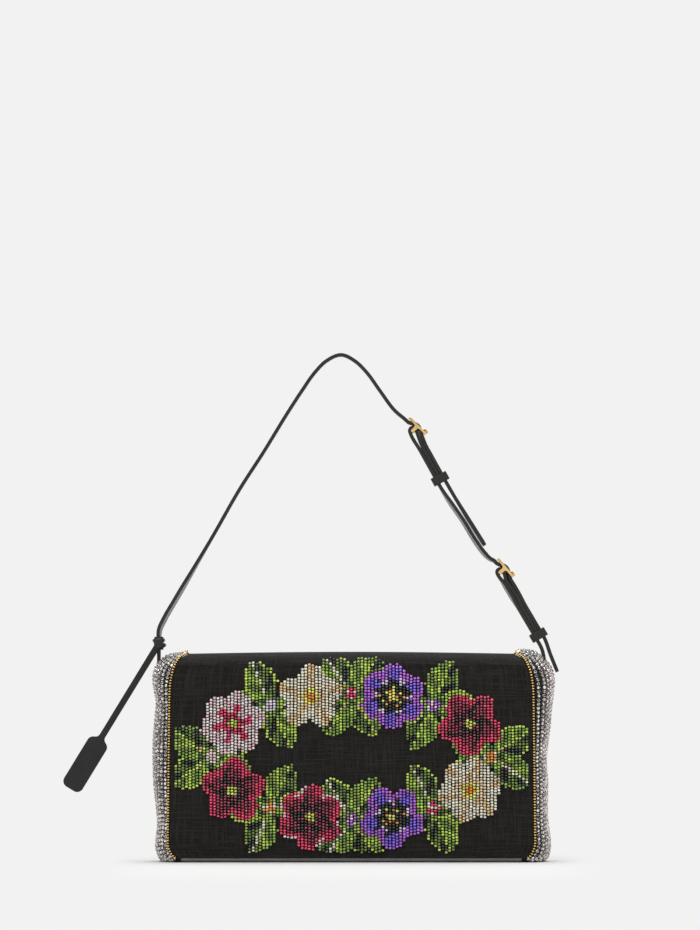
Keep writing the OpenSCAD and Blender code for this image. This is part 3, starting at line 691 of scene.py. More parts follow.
profile = body_profile()
walked = walk_line(profile)
body_cloth = laid_grid("body_cloth", 60, 160, lambda u, v: body_point(profile, walked, u, v),
                       (2 * HALF_W, walked[-1]))
face_outwards(body_cloth, (0, 0, -1))
body_cloth.data.materials.append(linen)
body_cloth.data.materials.append(painted_shadow_band)
# Faces below the band's top get the grey cloth, a painted shadow of the floor under the flap.
for face in body_cloth.data.polygons:
    face.material_index = int(face.center.z < SHADOW_BAND_TOP)
apply_modifier(body_cloth, "SOLIDIFY", thickness=BODY_T, offset=-1, use_even_offset=True)
smooth(body_cloth, 50)
finish_piece(body_cloth, "bag", "linen", replaces=("front_panel", "back_panel", "base_panel"))

# %% [markdown]
# ## The lining and the pocket
# Inside there is a plain woven lining. It is a box primitive without its top face, given a wall.

# %% Lining
LINING_T = 0.8 * MM


def box_piece(name, low, high):
    deselect()
    centre = (Vector(low) + Vector(high)) / 2
    size = Vector(high) - Vector(low)
    bpy.ops.mesh.primitive_cube_add(size=1, location=centre, scale=size)
    piece = bpy.context.object
    piece.name = name
    bpy.ops.object.transform_apply(location=True, scale=True)
    return piece


def box_uv(piece):
    """A UV map in metres: each face takes the two axes that it lies along."""
    layer = piece.data.uv_layers.active or piece.data.uv_layers.new(name="UVMap")
    layer.name = "UVMap"
    for face in piece.data.polygons:
        drop = max(range(3), key=lambda k: abs(face.normal[k]))
        keep = [k for k in range(3) if k != drop]
        for index in face.loop_indices:
            co = piece.data.vertices[piece.data.loops[index].vertex_index].co
            layer.data[index].uv = (co[keep[0]], co[keep[1]])


def select_faces(piece, test):
    """Goes into edit mode with only the faces that pass the test selected."""
    active(piece)
    bpy.ops.object.mode_set(mode="EDIT")
    bpy.ops.mesh.select_all(action="DESELECT")
    bpy.ops.mesh.select_mode(type="FACE")
    bpy.ops.object.mode_set(mode="OBJECT")
    for face in piece.data.polygons:
        face.select = bool(test(face))
    bpy.ops.object.mode_set(mode="EDIT")


bag_lining = box_piece("bag_lining", lining_lo, lining_hi)
select_faces(bag_lining, lambda face: face.normal.z > 0.5)
bpy.ops.mesh.delete(type="FACE")
bpy.ops.mesh.select_all(action="SELECT")
bpy.ops.mesh.subdivide(number_cuts=12)
bpy.ops.object.mode_set(mode="OBJECT")
apply_modifier(bag_lining, "SOLIDIFY", thickness=LINING_T, offset=-1, use_even_offset=True)
box_uv(bag_lining)
finish_piece(bag_lining, "bag", "lining", inside_cloth, replaces=("lining",))

pocket_lo, pocket_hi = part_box("inner_pocket")
patch = box_piece("pocket_patch", pocket_lo, pocket_hi)
apply_modifier(patch, "BEVEL", width=0.25 * MM, segments=2)
box_uv(patch)
smooth(patch)
finish_piece(patch, "bag", "lining", inside_cloth, replaces=("inner_pocket",))

# %% [markdown]
# ## Repeating a small shape
# Beads and crystals come in hundreds. One is modelled with few faces, and copies of its
# mesh are placed along the rows in one new mesh. Each copy has its own place, direction and colour.

# %% Copies of a small shape
def faces_in_order(mesh):
    """The faces, sorted by their corners' numbers: edit mode leaves them in any order."""
    return sorted(mesh.polygons, key=lambda face: sorted(face.vertices, reverse=True))


def scatter(name, template, places, axes, colours, face_glints=None):
    """One mesh of many copies. axes holds each copy's x, y and z directions as rows."""
    mesh = template.data
    points = np.array([v.co for v in mesh.vertices])
    places, axes, colours = np.asarray(places), np.asarray(axes), np.asarray(colours)
    count = len(places)
    spread = places[:, None, :] + np.einsum("vk,nkj->nvj", points, axes)
    faces = faces_in_order(mesh)
    sizes = np.array([len(face.vertices) for face in faces])
    loops = np.concatenate([list(face.vertices) for face in faces])
    all_loops = (loops[None] + (np.arange(count) * len(points))[:, None]).ravel()
    all_sizes = np.tile(sizes, count)
    made = bpy.data.meshes.new(name)
    made.vertices.add(count * len(points))
    made.vertices.foreach_set("co", spread.astype(np.float32).ravel())
    made.loops.add(len(all_loops))
    made.loops.foreach_set("vertex_index", all_loops.astype(np.int32))
    made.polygons.add(len(all_sizes))
    starts = np.concatenate([[0], np.cumsum(all_sizes)[:-1]]).astype(np.int32)
    made.polygons.foreach_set("loop_start", starts)
    made.polygons.foreach_set("use_smooth", np.full(len(all_sizes), mesh.polygons[0].use_smooth))
    made.update(calc_edges=True)
    made.validate()
    layer = made.attributes.new("colour_and_glints", "FLOAT_COLOR", "FACE")
    shade = np.ones((count, len(sizes), 4))
    shade[:, :, :3] = colours[:, None, :]
    # The per-face factors scale each face's colour; on the crystals they hold the painted facet
    # reflections.
    if face_glints is not None:
        shade[:, :, :3] *= face_glints[:, :, None]
    layer.data.foreach_set("color", shade.astype(np.float32).ravel())
    piece = bpy.data.objects.new(name, made)
    bpy.context.scene.collection.objects.link(piece)
    return piece


def axes_from(up, along):
    """Right-handed axes with z along up and x as near as it can be to along."""
    up = up / np.linalg.norm(up, axis=1, keepdims=True)
    side = unit_rows(np.cross(up, along))
    return np.stack([np.cross(side, up), side, up], axis=1)


def forget(template):
    active(template)
    bpy.ops.object.delete()


# %% [markdown]
# ## The gold edging
# A single row of gold beads runs along the flap's side edges, up the front, over the fold and back
# over the top. The edge is drawn on the flattened cloth first, moved out by half a bead, and then
# laid back on the fold, so that the row keeps its spacing where the cloth bends.

# %% Gold beads
BEAD_D = 1.9 * MM
ROW_OUT = 0.15 * MM + BEAD_D / 2
ROW_IN = 0.75 * MM
ROW_END = 12 * MM
EDGE_POINTS = 900
BACK_ROW_RAISED = 0.3 * MM


def edge_row(profile, sign, low_z, sunk=ROW_IN):
    """The row beside a side edge of a cloth piece, sunk below its face, as points."""
    dense = walk_line(profile)
    at = np.linspace(0, dense[-1], EDGE_POINTS)
    heights = np.interp(at, dense, profile[:, 1])
    edge = np.stack([np.array([half_width(min(z, CROWN_Z)) for z in heights]), at], axis=1)
    turn = np.gradient(edge, axis=0)
    turn /= np.linalg.norm(turn, axis=1, keepdims=True)
    beside = np.stack([np.abs(turn[:, 1]), -turn[:, 0] * np.sign(turn[:, 1])], axis=1)
    out = edge + ROW_OUT * beside
    py, pz = (np.interp(out[:, 1], dense, profile[:, k]) for k in (0, 1))
    run = np.stack([np.gradient(py), np.gradient(pz)], axis=1)
    run = unit_rows(run)
    into = np.stack([-run[:, 1], run[:, 0]], axis=1)
    if (into[0] @ np.array([0, -1])) < 0:
        into = -into
    points = np.stack([sign * out[:, 0], py + sunk * into[:, 0], pz + sunk * into[:, 1]], axis=1)
    return points[(pz > low_z) & (out[:, 0] > HALF_W - ROW_END)]


def row_of_beads(name, template, lines, pitch):
    places, turns = zip(*(even_places(line, pitch=pitch) for line in lines))
    places, turns = np.concatenate(places), np.concatenate(turns)
    axes = axes_from(turns, np.tile([0.3, 0.7, 0.6], (len(places), 1)))
    axes *= np.array([random.uniform(0.94, 1.04) for _ in places])[:, None, None]
    return scatter(name, template, places, axes, np.ones((len(places), 3)))


deselect()
bpy.ops.mesh.primitive_uv_sphere_add(segments=10, ring_count=7, radius=BEAD_D / 2)
bead = bpy.context.object
bead.data.transform(Matrix.Diagonal((1.08, 1, 0.68, 1)))
smooth(bead, 80)
front_rows = [edge_row(flap_profile(), side, FLAP_FOOT + 0.2 * MM) for side in (-1, 1)]
gold_front = row_of_beads("gold_beads_front", bead, front_rows, BEAD_D)
finish_piece(gold_front, None, "gold_beads", gold,
             replaces=("gold_edge_left", "gold_edge_right"))
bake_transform(gold_front)
back_rows = [edge_row(back_profile(), side, FLAP_FOOT, -BACK_ROW_RAISED) for side in (-1, 1)]
gold_back = row_of_beads("gold_beads_back", bead, back_rows, BEAD_D)
finish_piece(gold_back, None, "gold_beads", gold, replaces=("gold_edge_top",))
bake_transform(gold_back)
forget(bead)

# %% [markdown]
# ## The gussets
# Each side of the bag is a soft padded gusset that bulges out, wholly covered with crystals. Its
# surface is lofted: at every height it runs from the rim, along the flap's edge, out to the line
# that the side shows against the background and back to the rim behind. An inner shell of black
# cloth carries the crystals, which sit in rows that follow the rim.

# %% Gusset surface
RIGHT_SWELL = [
    (-0.6, 1.01), (-0.3, 1.012), (0.05, 1.006), (0.33, 0.99), (0.64, 0.962), (0.9, 0.925),
    (1.02, 0.872), (0.96, 0.8), (0.88, 0.73), (0.82, 0.65), (0.7, 0.56), (0.64, 0.48),
    (0.7, 0.38), (0.69, 0.22), (0.83, 0.1), (0.75, 0.035), (0.45, 0.006), (0.1, 0)]
LEFT_SWELL = [
    (-0.6, 0.997), (-0.3, 0.996), (0.05, 0.99), (0.33, 0.975), (0.64, 0.945), (0.79, 0.91),
    (0.82, 0.87), (0.76, 0.82), (0.66, 0.765), (0.72, 0.69), (0.81, 0.56), (0.78, 0.39),
    (0.68, 0.29), (0.59, 0.186), (0.68, 0.081), (0.46, 0.015), (0.08, 0)]
CRYSTAL_D = 2.5 * MM
CRYSTAL_PITCH = 2.8 * MM
ROW_PITCH = 3.3 * MM
FIRST_ROW = 3.3 * MM
SKIN_IN = 0.9 * MM
FOOT_END = 6.5 * MM
GUSSET_FOOT = 0.8 * MM
LOW_STONE = 1.2 * MM


def soft_line(points):
    """A smooth line in which each point's slope comes from its neighbours."""
    points = np.asarray(points, float)
    slopes = np.gradient(points, axis=0)
    return curve_through(points, slopes[:-1], slopes[1:])


def gusset_lines(swell):
    """The rim and the outer line of a gusset, foot to top, as X and Z at even shares."""
    rim = flap_edge()
    rim = np.vstack([[rim[0][0], GUSSET_FOOT], rim, [rim[-1][0], HEIGHT - 0.6 * MM]])
    outer = soft_line([(HALF_W + x * BULGE, z * HEIGHT) for x, z in swell])[::-1]
    outer[:, 0] -= SKIN_IN
    outer[:, 1] = np.maximum(outer[:, 1] - SKIN_IN, GUSSET_FOOT)
    return [even_places(line, count=161)[0] for line in (rim, outer)]


def gusset_surface(lines, sign, u, around):
    """Points of the gusset: u from foot to top, around from -1 in front to 1 behind."""
    u, around = np.broadcast_arrays(np.asarray(u, float), np.asarray(around, float))
    at = np.linspace(0, 1, len(lines[0]))
    rim, outer = (np.stack([np.interp(u, at, line[:, k]) for k in (0, 1)], axis=-1)
                  for line in lines)
    angle = around * math.pi / 2
    where = rim + (outer - rim) * (np.maximum(np.cos(angle), 0) ** 0.75)[..., None]
    behind = np.clip(around, 0, 1)
    half = (HALF_D * (0.985 - 0.04 * behind)
            - (0.8 + 0.2 * behind) * rolled(np.minimum(where[..., 1], HEIGHT - 1 * MM)))
    return np.stack([sign * where[..., 0], half * np.sin(angle), where[..., 1]], axis=-1)


def crystal_rows(lines, sign):
    """Places, outward directions and run of the crystals, row by row round the gusset."""
    round_line = np.linspace(-1, 1, 400)
    middle = np.column_stack([gusset_surface(lines, sign, 0.5, round_line), round_line])
    walked = walk_line(middle[:, :3])
    count = int((walked[-1] - 2 * FIRST_ROW) / ROW_PITCH) + 1
    rows = np.interp(np.linspace(FIRST_ROW, walked[-1] - FIRST_ROW, count), walked, round_line)
    places, outs, turns = [], [], []
    for around in rows:
        shares = np.linspace(random.uniform(0.002, 0.02), 1, 400)
        line = gusset_surface(lines, sign, shares, around)
        found, along = even_places(np.column_stack([line, shares]), pitch=CRYSTAL_PITCH, ends=False)
        along = unit_rows(along[:, :3])
        near = gusset_surface(lines, sign, found[:, 3], around + 0.01)
        far = gusset_surface(lines, sign, found[:, 3], around - 0.01)
        out = sign * np.cross(near - far, along)
        size = np.linalg.norm(out, axis=1)
        keep = ((size > 1e-7) & (found[:, 2] > LOW_STONE)
                & ((np.abs(found[:, 0]) > HALF_W - FOOT_END) | (found[:, 2] > HEIGHT / 2)))
        places.append(found[keep, :3])
        outs.append(out[keep] / size[keep, None])
        turns.append(along[keep])
    return np.concatenate(places), np.concatenate(outs), np.concatenate(turns)


def model_crystal():
    """A faceted stone: a ten-sided prism that is drawn in at the top in two steps."""
    deselect()
    bpy.ops.mesh.primitive_cylinder_add(vertices=10, radius=CRYSTAL_D / 2, depth=1.2 * MM,
                                        location=(0, 0, 0), end_fill_type="NGON")
    stone = bpy.context.object
    select_faces(stone, lambda face: face.normal.z > 0.9)
    bpy.ops.mesh.extrude_region_move(TRANSFORM_OT_translate={"value": (0, 0, 0.38 * MM)})
    bpy.ops.transform.resize(value=(0.78, 0.78, 1), center_override=(0, 0, 0))
    bpy.ops.mesh.extrude_region_move(TRANSFORM_OT_translate={"value": (0, 0, 0.24 * MM)})
    bpy.ops.transform.resize(value=(0.6, 0.6, 1), center_override=(0, 0, 0))
    bpy.ops.object.mode_set(mode="OBJECT")
    select_faces(stone, lambda face: face.normal.z < -0.9)
    bpy.ops.mesh.delete(type="FACE")
    bpy.ops.object.mode_set(mode="OBJECT")
    return stone


stone = model_crystal()
generator = np.random.default_rng(11)
for side, label, swell in ((-1, "left", LEFT_SWELL), (1, "right", RIGHT_SWELL)):
    lines = gusset_lines(swell)
    shell = laid_grid(f"gusset_{label}_cloth", 40, 80,
                      lambda u, v: gusset_surface(lines, side, v, 2 * u - 1), (0.07, HEIGHT))
    face_outwards(shell, (side, 0, 0))
    smooth(shell, 60)
    finish_piece(shell, "bag", "linen", linen, replaces=(f"gusset_{label}",))
    places, outs, turns = crystal_rows(lines, side)
    shade = generator.uniform(0.88, 1.0, len(places))
    # Stones that face sideways get a pink tint: a painted reflection, the pink that the stones show
    # when seen aslant.
    blush = np.clip(np.abs(outs[:, 0]) * 1.3 - 0.35, 0, 1)[:, None]
    colours = shade[:, None] * ((1 - blush) * np.array([1.0, 0.96, 0.92])
                                + blush * np.array([1.0, 0.91, 0.88]))
    # Each facet is painted near black, grey or white at random, with the upright sides kept light:
    # painted reflections that give the stones their sparkle.
    facet_glints = generator.choice([0.006, 0.22, 1.0], p=[0.38, 0.1, 0.52],
                              size=(len(places), len(stone.data.polygons)))
    girdle = np.array([abs(face.normal.z) < 0.1 for face in faces_in_order(stone.data)])
    facet_glints[:, girdle] = np.maximum(facet_glints[:, girdle], 0.9)
    outs = outs + generator.uniform(-0.07, 0.07, outs.shape)
    stones = scatter(f"crystals_{label}", stone, places + outs * 0.2 * MM,
                     axes_from(outs, turns), colours, facet_glints)
    finish_piece(stones, "bag", "crystal", crystal_glass)
    print(label, len(places), "crystals")
forget(stone)

# %% [markdown]
# ## The beaded garland
# Seed beads are sewn on in upright columns, so the flowers have the stepped outlines of a woven
# picture. A garland of round blossoms and leaves is laid out at even steps round an oval, as
# simple formulas: each motif answers whether a point lies in it, and in which colour. Then every
# place in the columns asks the motifs in turn, and gets a bead where one of them answers.

# %% Colours of the beads
BEADS = {
    "lime": (0.6, 0.82, 0.11), "green": (0.28, 0.46, 0.07), "dark_green": (0.08, 0.16, 0.045),
    "moss": (0.18, 0.27, 0.045),
    "crimson": (0.86, 0.05, 0.15), "burgundy": (0.32, 0.035, 0.07), "pink": (1.0, 0.72, 0.74),
    "cream": (1.0, 0.93, 0.74), "tan": (0.95, 0.64, 0.33), "purple": (0.55, 0.17, 0.82),
    "violet": (0.25, 0.15, 0.9), "lavender": (0.86, 0.76, 1.0), "black": (0.015, 0.015, 0.015),
    "yellow": (1.0, 0.92, 0.18), "orange": (1.0, 0.38, 0.06), "white": (1.0, 0.99, 0.94)}
BLOOM_COUNT = 8
RING_W, RING_H, RING_Z = 0.77 * HALF_W, 0.3 * HEIGHT, 0.5 * HEIGHT
BLOOM_R = 0.18 * HALF_W
BUD_R = 0.38 * BLOOM_R
LEAF_L = 1.5 * BLOOM_R
COLUMN_PITCH = 2.42 * MM
BEAD_PITCH = 2.0 * MM

ring_line = np.array([(RING_W * math.cos(a), RING_Z + RING_H * math.sin(a))
                      for a in np.radians(np.arange(0, 361, 5))])
ring_walk = walk_line(ring_line)


def ring_place(share):
    """A place on the oval at a share of its way round, and the direction out from its middle."""
    at = (share % 1) * ring_walk[-1]
    x, z = (np.interp(at, ring_walk, ring_line[:, k]) for k in (0, 1))
    return x, z, math.atan2(z - RING_Z, x)


# %% Motifs
def petal_reach(angle, petals, depth):
    """How far out a blossom's edge lies at an angle, as a share of its radius."""
    place = (angle / (2 * math.pi) * petals) % 1
    return 1 - depth * abs(1 - 2 * place) ** 2


def rose(r, angle, petals):
    rim = math.sin(petals * angle + 9 * r)
    if r < 0.16:
        return "lime" if rim > 0 else "yellow"
    if r < 0.4:
        return "black" if rim > -0.2 else "burgundy"
    if r < 0.7:
        return "burgundy" if rim > -0.45 else "black"
    if r < 0.86:
        return "crimson" if rim > -0.5 else "burgundy"
    return "pink" if petals == 6 and rim > 0.5 else "crimson"


def pansy(r, angle, petals):
    ray = math.cos(petals * angle)
    if r < 0.14:
        return "yellow"
    if r < 0.5:
        return "orange" if ray > 0.9 else "yellow" if ray < -0.93 and r < 0.36 else "black"
    if r < 0.66:
        return "lavender" if ray > 0.45 else "black" if ray > -0.2 else "violet"
    return "purple" if ray > -0.3 or r > 0.88 else "violet"


def primrose(r, angle, petals):
    ray = math.cos(petals * angle)
    if r < 0.15:
        return "orange"
    if r < 0.26:
        return "yellow"
    if r < 0.62:
        return "tan" if math.cos(3 * petals * angle) > 0.2 else "cream"
    return "cream" if ray > -0.8 else "tan"


def blush(r, angle, petals):
    rim = math.cos(petals * angle)
    if r < 0.15:
        return "lime"
    if r < 0.34:
        return "crimson" if rim > 0 else "burgundy"
    if r < 0.6:
        return "pink" if rim > -0.25 else "crimson"
    return "pink" if math.cos(2 * petals * angle) > -0.6 else "white"


def bud_colour(r, angle, tone):
    """A half-open bud: a coloured heart in a green cup."""
    heart = ("orange", "purple", "crimson", "lavender", "pink")[tone % 5]
    if r < 0.55:
        return heart if math.cos(3 * angle) > -0.6 else "cream"
    return "dark_green" if math.cos(4 * angle) > 0.3 else "green" if r < 0.85 else "lime"


def leaf_colour(share, side, tone):
    """Across a leaf: a pale midrib, one half lighter than the other, and lime at the edge."""
    if abs(side) < 0.1:
        return "cream" if tone % 3 == 0 else "tan" if share < 0.3 else "lime"
    if abs(side) > 0.8:
        return "lime" if tone % 2 else "green"
    vein = math.sin(16 * share - 5 * abs(side))
    if side > 0:
        return "lime" if vein > 0.72 else "green" if vein > -0.6 else "moss"
    return "moss" if vein > 0.2 else "dark_green" if vein > -0.55 else "black"


# %% The garland's layout
BLOOMS = (rose, pansy, primrose, blush, rose)


def layout():
    """The motifs from the top one down: blossoms lie over the leaves beside them."""
    motifs = []
    for k in range(BLOOM_COUNT):
        x, z, out = ring_place((k + 0.5) / BLOOM_COUNT)
        petals, depth = (5, 0.3) if k % 2 == 0 else (6, 0.18)
        motifs.append(("bloom", x, z, out, petals, depth, BLOOMS[k % len(BLOOMS)]))
    for k in range(BLOOM_COUNT):
        x, z, out = ring_place(k / BLOOM_COUNT)
        motifs.append(("bud", x, z, out, k, 0, None))
        for n, turn in enumerate((-0.62, 0.62, math.pi - 0.55, math.pi + 0.55)):
            motifs.append(("leaf", x, z, out + turn, k + n, 0, None))
    return motifs


def colour_at(x, z, motifs):
    for kind, cx, cz, turn, first, second, paint in motifs:
        dx, dz = x - cx, z - cz
        if kind == "bloom":
            r, angle = math.hypot(dx, dz) / BLOOM_R, math.atan2(dz, dx) - turn
            reach = petal_reach(angle, first, second)
            if r < reach:
                return paint(r / reach, angle, first)
        elif kind == "bud":
            if math.hypot(dx, dz) < BUD_R:
                return bud_colour(math.hypot(dx, dz) / BUD_R, math.atan2(dz, dx) - turn, first)
        else:
            along = dx * math.cos(turn) + dz * math.sin(turn)
            across = -dx * math.sin(turn) + dz * math.cos(turn)
            share = along / LEAF_L
            if 0 < share < 1:
                half = LEAF_L / 2.9 * math.sin(math.pi * share) ** 0.8
                if abs(across) < half:
                    return leaf_colour(share, across / half, first)
    return None


def fold_rise(z):
    """How far a height lies above the foot of the flap's fold."""
    return max(0, z - (HEIGHT - FOLD_R))


def front_y(x, z):
    """The outer face of the flap's cloth at a place, with the cloth's own puff and fold."""
    u = (x / half_width(min(z, CROWN_Z)) + 1) / 2
    share = (z - FLAP_FOOT) / (CROWN_Z - FLAP_FOOT)
    swell = max(0, math.sin(math.pi * min(1, max(0, u)))) ** 0.5
    full = max(0, math.sin(math.pi * min(1, max(0, share)))) ** 0.6
    rolled_in = FOLD_R - math.sqrt(FOLD_R ** 2 - fold_rise(z) ** 2)
    return FRONT_Y + PUFF * (1 - swell * full) + rolled_in


# %% Seed beads
SEED_OUT = 0.85 * MM
deselect()
bpy.ops.mesh.primitive_torus_add(major_segments=9, minor_segments=5, major_radius=0.6 * MM,
                                 minor_radius=0.42 * MM)
seed = bpy.context.object
seed.data.transform(Matrix.Diagonal((1.05, 1, 1.95, 1)))
smooth(seed, 80)
motifs = layout()
places, colours, axes = [], [], []
columns = int(2 * (HALF_W - 3 * MM) / COLUMN_PITCH)
for column in range(columns):
    x = (column - (columns - 1) / 2) * COLUMN_PITCH
    z = FLAP_FOOT + 2 * MM + random.uniform(0, BEAD_PITCH)
    while z < CROWN_Z - 5 * MM:
        z += BEAD_PITCH * random.uniform(0.97, 1.05)
        named = colour_at(x + random.uniform(-0.35, 0.35) * MM, z, motifs)
        if named is None:
            continue
        tone = random.uniform(0.72, 1.2)
        colours.append([min(1, c * tone) for c in BEADS[named]])
        places.append((x + random.uniform(-0.12, 0.12) * MM, front_y(x, z) - SEED_OUT, z))
        tilt = fold_rise(z) / FOLD_R
        lean = (random.uniform(-0.08, 0.08), random.uniform(-0.06, 0.06) + tilt, 1)
        axes.append(axes_from(np.array([lean]), np.array([[1.0, 0, 0]]))[0]
                    * random.uniform(0.92, 1.06))
places, colours, axes = np.array(places), np.array(colours), np.array(axes)
on_fold = places[:, 2] > HEIGHT - FOLD_R
for index, chosen in enumerate(np.array_split(np.flatnonzero(~on_fold), 3)):
    piece = scatter(f"seed_beads_{index + 1}", seed, places[chosen], axes[chosen],
                    colours[chosen])
    finish_piece(piece, "flap_front", "beads", bead_glass,
                 replaces=("beadwork",) if index == 0 else ())
fold_beads = scatter("seed_beads_fold", seed, places[on_fold], axes[on_fold], colours[on_fold])
finish_piece(fold_beads, None, "beads", bead_glass)
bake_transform(fold_beads)
print(len(places), "seed beads in", columns, "columns")
forget(seed)

# %% [markdown]
# ## The strap
# The strap is thin leather, cut in three lengths that two buckles join: a long one over the top, a
# middle one, and a short one at the right anchor. Each folds round a buckle's bar and lies back on
# itself under a keeper. Every length is a flat grid laid along its line, given its thickness, and
# rounded at its edges. The lines are those of the frame: places by share of the arch.

# %% The lines of the strap
ANCHOR_X = HALF_W + 8 * MM
ANCHOR_Z = HEIGHT - 12 * MM
RISE = 218 * MM
LAYER_GAP = 0.15 * MM
LAYER = STRAP_T + LAYER_GAP
BUCKLE_L, BUCKLE_T, RAIL_W = 16.5 * MM, 1.6 * MM, 1.7 * MM
CROSS = BUCKLE_L / 2 - RAIL_W / 2
BAR_V = -BUCKLE_T / 2 - 3.8 * MM
BAR_R = 1 * MM
FOLD_BAR_R = BAR_R + LAYER_GAP + STRAP_T / 2
OVER_R = FOLD_BAR_R + LAYER + LAYER_GAP
UNDER_V = -BUCKLE_T / 2 - 0.75 * MM - STRAP_T / 2
KEEPER_L = 6 * MM
UPPER_BUCKLE, LOWER_BUCKLE = ((0.344, 0.7734), 44.5), ((0.8, 0.322), 50)
UPPER_KEEPER, LOWER_KEEPER = ((0.4607, 0.6055), 61), ((0.9715, 0.1083), 59.5)
UPPER_STRAIGHT, LOWER_STRAIGHT = 24 * MM, 44 * MM


def arch(share):
    return np.array([share[0] * ANCHOR_X, ANCHOR_Z + share[1] * RISE])


def near(part, u, v):
    """A point given along and above a buckle or keeper, as X and Z."""
    origin, tilt = arch(part[0]), math.radians(part[1])
    return origin + np.array([u * math.cos(tilt) + v * math.sin(tilt),
                              v * math.cos(tilt) - u * math.sin(tilt)])


def round_bar(part, r, first, last, steps):
    angles = np.radians(np.linspace(first, last, steps + 1))
    return [near(part, r * math.cos(a), BAR_V + r * math.sin(a)) for a in angles]


def stack(part, straight, end, v):
    return [near(part, u, v) for u in (-straight, -0.86 * straight, -straight / 2, 0, end)]


def folded(part, straight):
    return [near(part, u, 0) for u in (KEEPER_L / 3, -straight / 2, -0.86 * straight, -straight)]


def under(part):
    return [near(part, u, UNDER_V) for u in (-CROSS - RAIL_W / 2, -CROSS + RAIL_W / 2)]


long_line = (
    [arch(s) for s in (
        (-1, 0), (-1, 0.03), (-1, 0.09), (-0.997, 0.124), (-0.974, 0.156), (-0.914, 0.22),
        (-0.824, 0.314), (-0.704, 0.44), (-0.584, 0.569), (-0.454, 0.693), (-0.326, 0.821),
        (-0.258, 0.885), (-0.186, 0.947), (-0.134, 0.979), (-0.052, 1), (0.021, 0.979),
        (0.075, 0.947), (0.15, 0.884), (0.228, 0.821))]
    + under(UPPER_BUCKLE) + round_bar(UPPER_BUCKLE, OVER_R, 100, 50, 2)
    + stack(UPPER_KEEPER, UPPER_STRAIGHT, KEEPER_L, LAYER)
    + [arch(s) for s in ((0.607, 0.477), (0.693, 0.393))])
middle_line = (
    folded(UPPER_KEEPER, UPPER_STRAIGHT)
    + round_bar(UPPER_BUCKLE, FOLD_BAR_R, 50,
                270 + UPPER_BUCKLE[1] - UPPER_KEEPER[1], 8)
    + stack(UPPER_KEEPER, UPPER_STRAIGHT, KEEPER_L, -LAYER)
    + [arch(s) for s in ((0.583, 0.468), (0.647, 0.404), (0.689, 0.369), (0.719, 0.351))]
    + under(LOWER_BUCKLE) + round_bar(LOWER_BUCKLE, OVER_R, 100, 60, 2)
    + stack(LOWER_KEEPER, LOWER_STRAIGHT, KEEPER_L / 2, LAYER)
    + [arch(s) for s in ((1.034, 0.046), (1.07, -0.009))])
chape_line = (
    folded(LOWER_KEEPER, LOWER_STRAIGHT)
    + round_bar(LOWER_BUCKLE, FOLD_BAR_R, 60,
                270 + LOWER_BUCKLE[1] - LOWER_KEEPER[1], 8)
    + stack(LOWER_KEEPER, LOWER_STRAIGHT, KEEPER_L / 2, -LAYER)
    + [arch(s) for s in ((0.989, 0.064), (1, 0.034), (1, 0))])


def weighted_line(points):
    """A smooth line whose slopes are weighted by the distances to a point's neighbours."""
    points = np.array(points)
    unit = np.diff(points, axis=0)
    size = np.linalg.norm(unit, axis=1, keepdims=True)
    unit = unit / size
    inner = (unit[:-1] * size[1:] + unit[1:] * size[:-1]) / (size[:-1] + size[1:])
    slope = np.vstack([unit[:1], inner, unit[-1:]])
    return curve_through(points, size * slope[:-1], size * slope[1:])


# %% The three lengths of strap
TIP_R = STRAP_W / 2
STRAP_ROW = 1.1 * MM


def face_upwards(piece):
    """Turns a strap's grid over if its outer side looks in towards the arch."""
    total = sum(p.normal.x * p.center.x + p.normal.z * (p.center.z - ANCHOR_Z)
                for p in piece.data.polygons)
    if total < 0:
        edit_whole(piece, (bpy.ops.mesh.flip_normals, {}))


def strap_piece(name, line, round_start, round_end, node, pale_span, twists):
    """A length of strap, turned at the places in twists, in mm, by so many degrees.

    Between the two places in pale_span its underside is light grey, and elsewhere black like its
    top."""
    line = weighted_line(line)
    walked = walk_line(line)
    total = walked[-1]
    rows = int(total / STRAP_ROW)
    ahead = np.gradient(line, axis=0)
    ahead /= np.linalg.norm(ahead, axis=1, keepdims=True)
    turn_at, turn = zip(*sorted((at * MM % total, turn) for at, turn in twists))

    def where(u, v):
        at = v * total
        tip = min(at if round_start else total, total - at if round_end else total)
        half = STRAP_W / 2
        if tip < TIP_R:
            half *= math.sqrt(max(0.05, 1 - (1 - tip / TIP_R) ** 2.4))
        across = (2 * u - 1) * half
        angle = math.radians(np.interp(at, turn_at, turn))
        side = -across * math.sin(angle)
        x, z, run_x, run_z = (np.interp(at, walked, values[:, k])
                              for values in (line, ahead) for k in (0, 1))
        return (x - run_z * side, across * math.cos(angle), z + run_x * side)

    piece = laid_grid(name, 6, rows, where, (STRAP_W, total))
    face_upwards(piece)
    for material in (strap_leather, strap_back, edge_paint_and_highlight):
        piece.data.materials.append(material)
    apply_modifier(piece, "SOLIDIFY", thickness=STRAP_T, offset=0, material_offset=1,
                   material_offset_rim=2, use_even_offset=True)
    apply_modifier(piece, "BEVEL", width=0.45 * MM, segments=3, limit_method="ANGLE",
                   angle_limit=math.radians(50))
    heights = piece.data.uv_layers["UVMap"].data
    for face in piece.data.polygons:
        at = heights[face.loop_start].uv[1]
        if face.material_index == 1 and not pale_span[0] * MM < at < pale_span[1] * MM:
            face.material_index = 0
    smooth(piece, 45)
    finish_piece(piece, "strap", "leather", replaces=(node,))
    print(name, "is", round(total * 1000), "mm long")
    return piece


